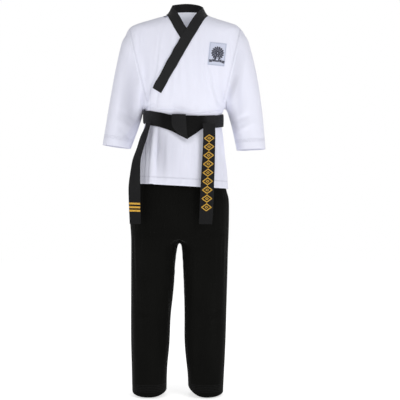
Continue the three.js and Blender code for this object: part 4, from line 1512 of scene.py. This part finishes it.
navy_look = thread_look("navy_thread", (0.010, 0.011, 0.026), (0.035, 0.038, 0.075), 0.0007, (1, 0, 0.6))
EMBLEM_SCALE = 1.08
EMBLEM_X, EMBLEM_Y = 1, 4  # the rosette's middle, in millimetres from the patch's
STEM = ((1, -13), (6, -18.5), (12, -22.5), (18, -25), (23, -25.5))
RIBBON_EDGES = (-20.5, -24.0)


def on_ring(reach_x, reach_y, turn):
    """The place on an oval about the rosette's middle, turn in degrees."""
    turn = math.radians(turn)
    return EMBLEM_X + reach_x * math.cos(turn), EMBLEM_Y + reach_y * math.sin(turn)


def ribbon_sag(x):
    return 0.00448 * (400 - x * x)


def rosette():
    """A flower inside two rings, a wreath of leaves around it, and a ribbon over two leafy twigs."""
    rings = ((13.2, 13.8, 41), (10.6, 11.2, 37), (3.0, 3.2, 17))
    paths = [arc(EMBLEM_X, EMBLEM_Y, reach_x, reach_y, 0, 360, count) for reach_x, reach_y, count in rings]
    for turn in np.arange(8) * 45 + 22.5:
        foot = on_ring(3.4, 3.6, turn)
        paths += [leaf(*foot, turn, 6.6, 4.6), vein(*foot, turn, 5.6)]
    for turn in np.arange(16) * 22.5 + 90:
        if not 255 < turn % 360 < 285:
            foot = on_ring(14.4, 15.0, turn)
            paths += [leaf(*foot, turn + 24, 8.2, 4.2), vein(*foot, turn + 24, 7.2)]
    for side in (-1, 1):
        stem = [(EMBLEM_X + side * x, y) for x, y in STEM]
        paths.append(stem)
        for x, y in stem[1:]:
            paths += [leaf(x, y, 90 - side * 38, 5.4, 3.0), leaf(x, y, 270 + side * 20, 4.6, 2.8)]
    for edge in RIBBON_EDGES:
        paths.append([(EMBLEM_X + x, edge - ribbon_sag(x)) for x in np.linspace(-15, 15, 13)])
    for x in np.linspace(-12.5, 12.5, 11):
        low = RIBBON_EDGES[0] - ribbon_sag(x)
        paths.append([(EMBLEM_X + x, low), (EMBLEM_X + x + 1.2, low - 3.5)])
    return [[(EMBLEM_SCALE * u, EMBLEM_SCALE * v) for u, v in path] for path in paths]


emblem = thread("chest_emblem_thread", rosette(), 0.0011, 0.0009, patch_surface, navy_look)
attach(patch, "torso", "patch_cloth", "chest_patch")
attach(patch_border, "torso", "patch_cloth")
attach(emblem, "torso", "navy_thread", "chest_emblem")


# ---- Embroidery on the belt's tails ------------------------------------------------------------

def tail_surface(grid):
    """Gives place(u, v): u millimetres across from the tail's middle, v down from its top."""
    run = path_length(grid[:, BELT_COLUMNS // 2])
    along = unit(np.gradient(grid, axis=0))
    across = unit(np.gradient(grid, axis=1))
    normal = unit(np.cross(along, across))
    if normal[..., 1].mean() > 0:
        normal = -normal
    wide = np.linalg.norm(grid[:, -1] - grid[:, 0], axis=1)

    def place(u, v):
        row = np.clip(np.interp(v * MM, run, np.arange(len(run))), 0, len(run) - 1.001)
        share = np.clip(0.5 + u * MM / wide[int(row)], 0, 1)
        spot, i, j = sampled(grid, row, min(share * (BELT_COLUMNS - 1), BELT_COLUMNS - 1.001))
        return spot, normal[i, j]

    return place


gold_look = thread_look("gold_thread", (0.52, 0.27, 0.012), (0.86, 0.52, 0.05), 0.0008, (0.5, 0, 1))
gold_bar_look = thread_look("gold_thread_bars", (0.60, 0.30, 0.015), (0.92, 0.55, 0.06), 0.0009, (1, 0, 0))

CHAIN_FIRST, CHAIN_PITCH, CHAIN_COUNT = 56.0, 31.2, 9
LOZENGE_HALF = (17.5, 12.4)


def lozenge(middle, half_u, half_v, count=5):
    corners = [(0, middle - half_v), (half_u, middle), (0, middle + half_v), (-half_u, middle)]
    return round_path(corners, count)


right_place = tail_surface(tails["right"])
chain = []
small = []
for k in range(CHAIN_COUNT):
    middle = CHAIN_FIRST + CHAIN_PITCH * k
    chain.append(lozenge(middle, *LOZENGE_HALF))
    small.append(lozenge(middle, 5.5, 4.0, 3))
    if k:
        gap = CHAIN_PITCH / 2 - LOZENGE_HALF[1]
        small.append([(0, middle - CHAIN_PITCH / 2 + turn * gap) for turn in (-1, 0, 1)])
wide_thread = thread("tail_chain", chain, 0.0019, 0.0010, right_place, gold_look)
fine_thread = thread("tail_chain_hearts", small, 0.0013, 0.0009, right_place, gold_look)
attach(wide_thread, "tail_right", "gold_thread", "tail_embroidery")
attach(fine_thread, "tail_right", "gold_thread")

left_place = tail_surface(tails["left"])
BAR_HALF = 3.4
BAR_MIDDLES = (-681.0, -694.5, -707.5)
BAR_DEPTH = -0.134
BAR_INSET = 0.9
for number, height in enumerate(BAR_MIDDLES, 1):
    spine = tails["left"][:, BELT_COLUMNS // 2]
    middle = np.interp(-seen(0, height, BAR_DEPTH).z, -spine[:, 2], path_length(spine)) / MM
    half_width = np.linalg.norm(tails["left"][-20, -1] - tails["left"][-20, 0]) / MM / 2 - BAR_INSET
    grid = np.zeros((9, 33, 3))
    for row, v in enumerate(np.linspace(-BAR_HALF, BAR_HALF, 9)):
        for column, u in enumerate(np.linspace(-half_width, half_width, 33)):
            spot, normal = left_place(u, middle + v)
            dome = 0.0011 * math.sqrt(max(0.0, 1 - (v / BAR_HALF) ** 2 * 0.85))
            grid[row, column] = spot + normal * dome
    piece = strip(f"tail_bar_{number}", grid, 0.0005, gold_bar_look, (0, -1, 0), bevel=0)
    attach(piece, "tail_left", "gold_thread", f"rank_bar_{number}")


# ---- Fastener, vent tabs and waistband ---------------------------------------------------------

def laid_on(across, up, place, direction, lift):
    """A grid on the body's cloth, seen along a direction from place(a, b), and lift metres off it."""
    direction = Vector(direction)
    hits = [[tuple(guide_tree.ray_cast(Vector(place(a, b)), direction)[0]) for a in across] for b in up]
    return evened(np.array(hits), 3, 3) - np.array(direction) * lift


FASTENER_ACROSS = np.linspace(-0.118, -0.078, 15)
FASTENER_UP = np.linspace(-0.292, -0.322, 15)


pile_look = plain_weave("fastener_loop", (0.55, 0.55, 0.60), (0.75, 0.75, 0.80), 0.95, 0.0016)
hook_look = plain_weave("fastener_hook", (0.50, 0.50, 0.55), (0.80, 0.80, 0.85), 0.6, 0.0022)
for name, node, lift, look in (("fastener_loop", "closure_loop_patch", 0.0009, pile_look),
                               ("fastener_hook", "closure_hook_patch", 0.0019, hook_look)):
    grid = laid_on(FASTENER_ACROSS, FASTENER_UP, lambda x, z: (x, -0.4, z), (0, 1, 0), lift)
    piece = strip(name, grid, 0.0008, look, (0, -1, 0), bevel=0.0002)
    attach(piece, "torso", "fastener", node)

TAB_ACROSS = np.linspace(-0.013, 0.013, 15)
TAB_UP = np.linspace(VENT_TOP - 0.008, VENT_TOP + 0.021, 17)
TAB_LIFT = 0.0017
TAB_ROWS = [
    ((0, 0, 1), VENT_TOP, (-0.005, 0.018), (0, 1, 0), -1),
    ((0, 1, 0), 0.0, (-0.010, 0.010), (0, 0, 1), -1),
]
tab_look = white_cloth("white_cloth_tabs", TAB_ROWS)
for label, side in (("left", -1), ("right", 1)):
    grid = laid_on(TAB_ACROSS, TAB_UP, lambda y, z: (side * 0.020 + WAIST_X, y, z), (side, 0, 0), -TAB_LIFT)
    piece = strip(f"vent_tab_{label}", grid, 0.0012, tab_look, (side, 0, 0), bevel=0.0003)
    attach(piece, "torso", "white_cloth", f"side_vent_tab_{label}")


class RigidLook(Look):
    """For a CAD part carried over: the pattern follows its own coordinates."""

    rigid = True


def dress(node, look):
    part = bpy.data.objects[node]
    part.data.materials.clear()
    part.data.materials.append(look)


def rigid_weave(name, dark, light, roughness, pitch):
    look = RigidLook(name, roughness, 0.2)
    crossed = weave_bump(look, pitch, pitch, 0.00025)
    cloud = look.noise(30, 3)
    look.sheen(0.1)
    return look.finish(look.mix(crossed, dark, look.mix(cloud, light, dark)))


def metal_look(name):
    look = RigidLook(name, 0.32, 0.5)
    look.shader.inputs["Metallic"].default_value = 1.0
    look.bump(look.noise(400, 3), 0.00005)
    return look.finish(look.mix(look.noise(90, 4), (0.30, 0.30, 0.32), (0.46, 0.46, 0.48)))


casing_look = rigid_weave("black_casing", (0.003, 0.003, 0.003), (0.011, 0.011, 0.011), 0.8, 0.0013)
elastic_look = rigid_weave("grey_elastic", (0.05, 0.05, 0.055), (0.16, 0.16, 0.17), 0.7, 0.0018)
dress("waistband_casing", casing_look)
dress("waist_elastic", elastic_look)
eyelet_look = metal_look("eyelet_metal")
for label in ("left", "right"):
    dress(f"eyelet_{label}", eyelet_look)


# ---- Removing the guide copy of the worn jacket -------------------------------------------------

bpy.data.objects.remove(guide)
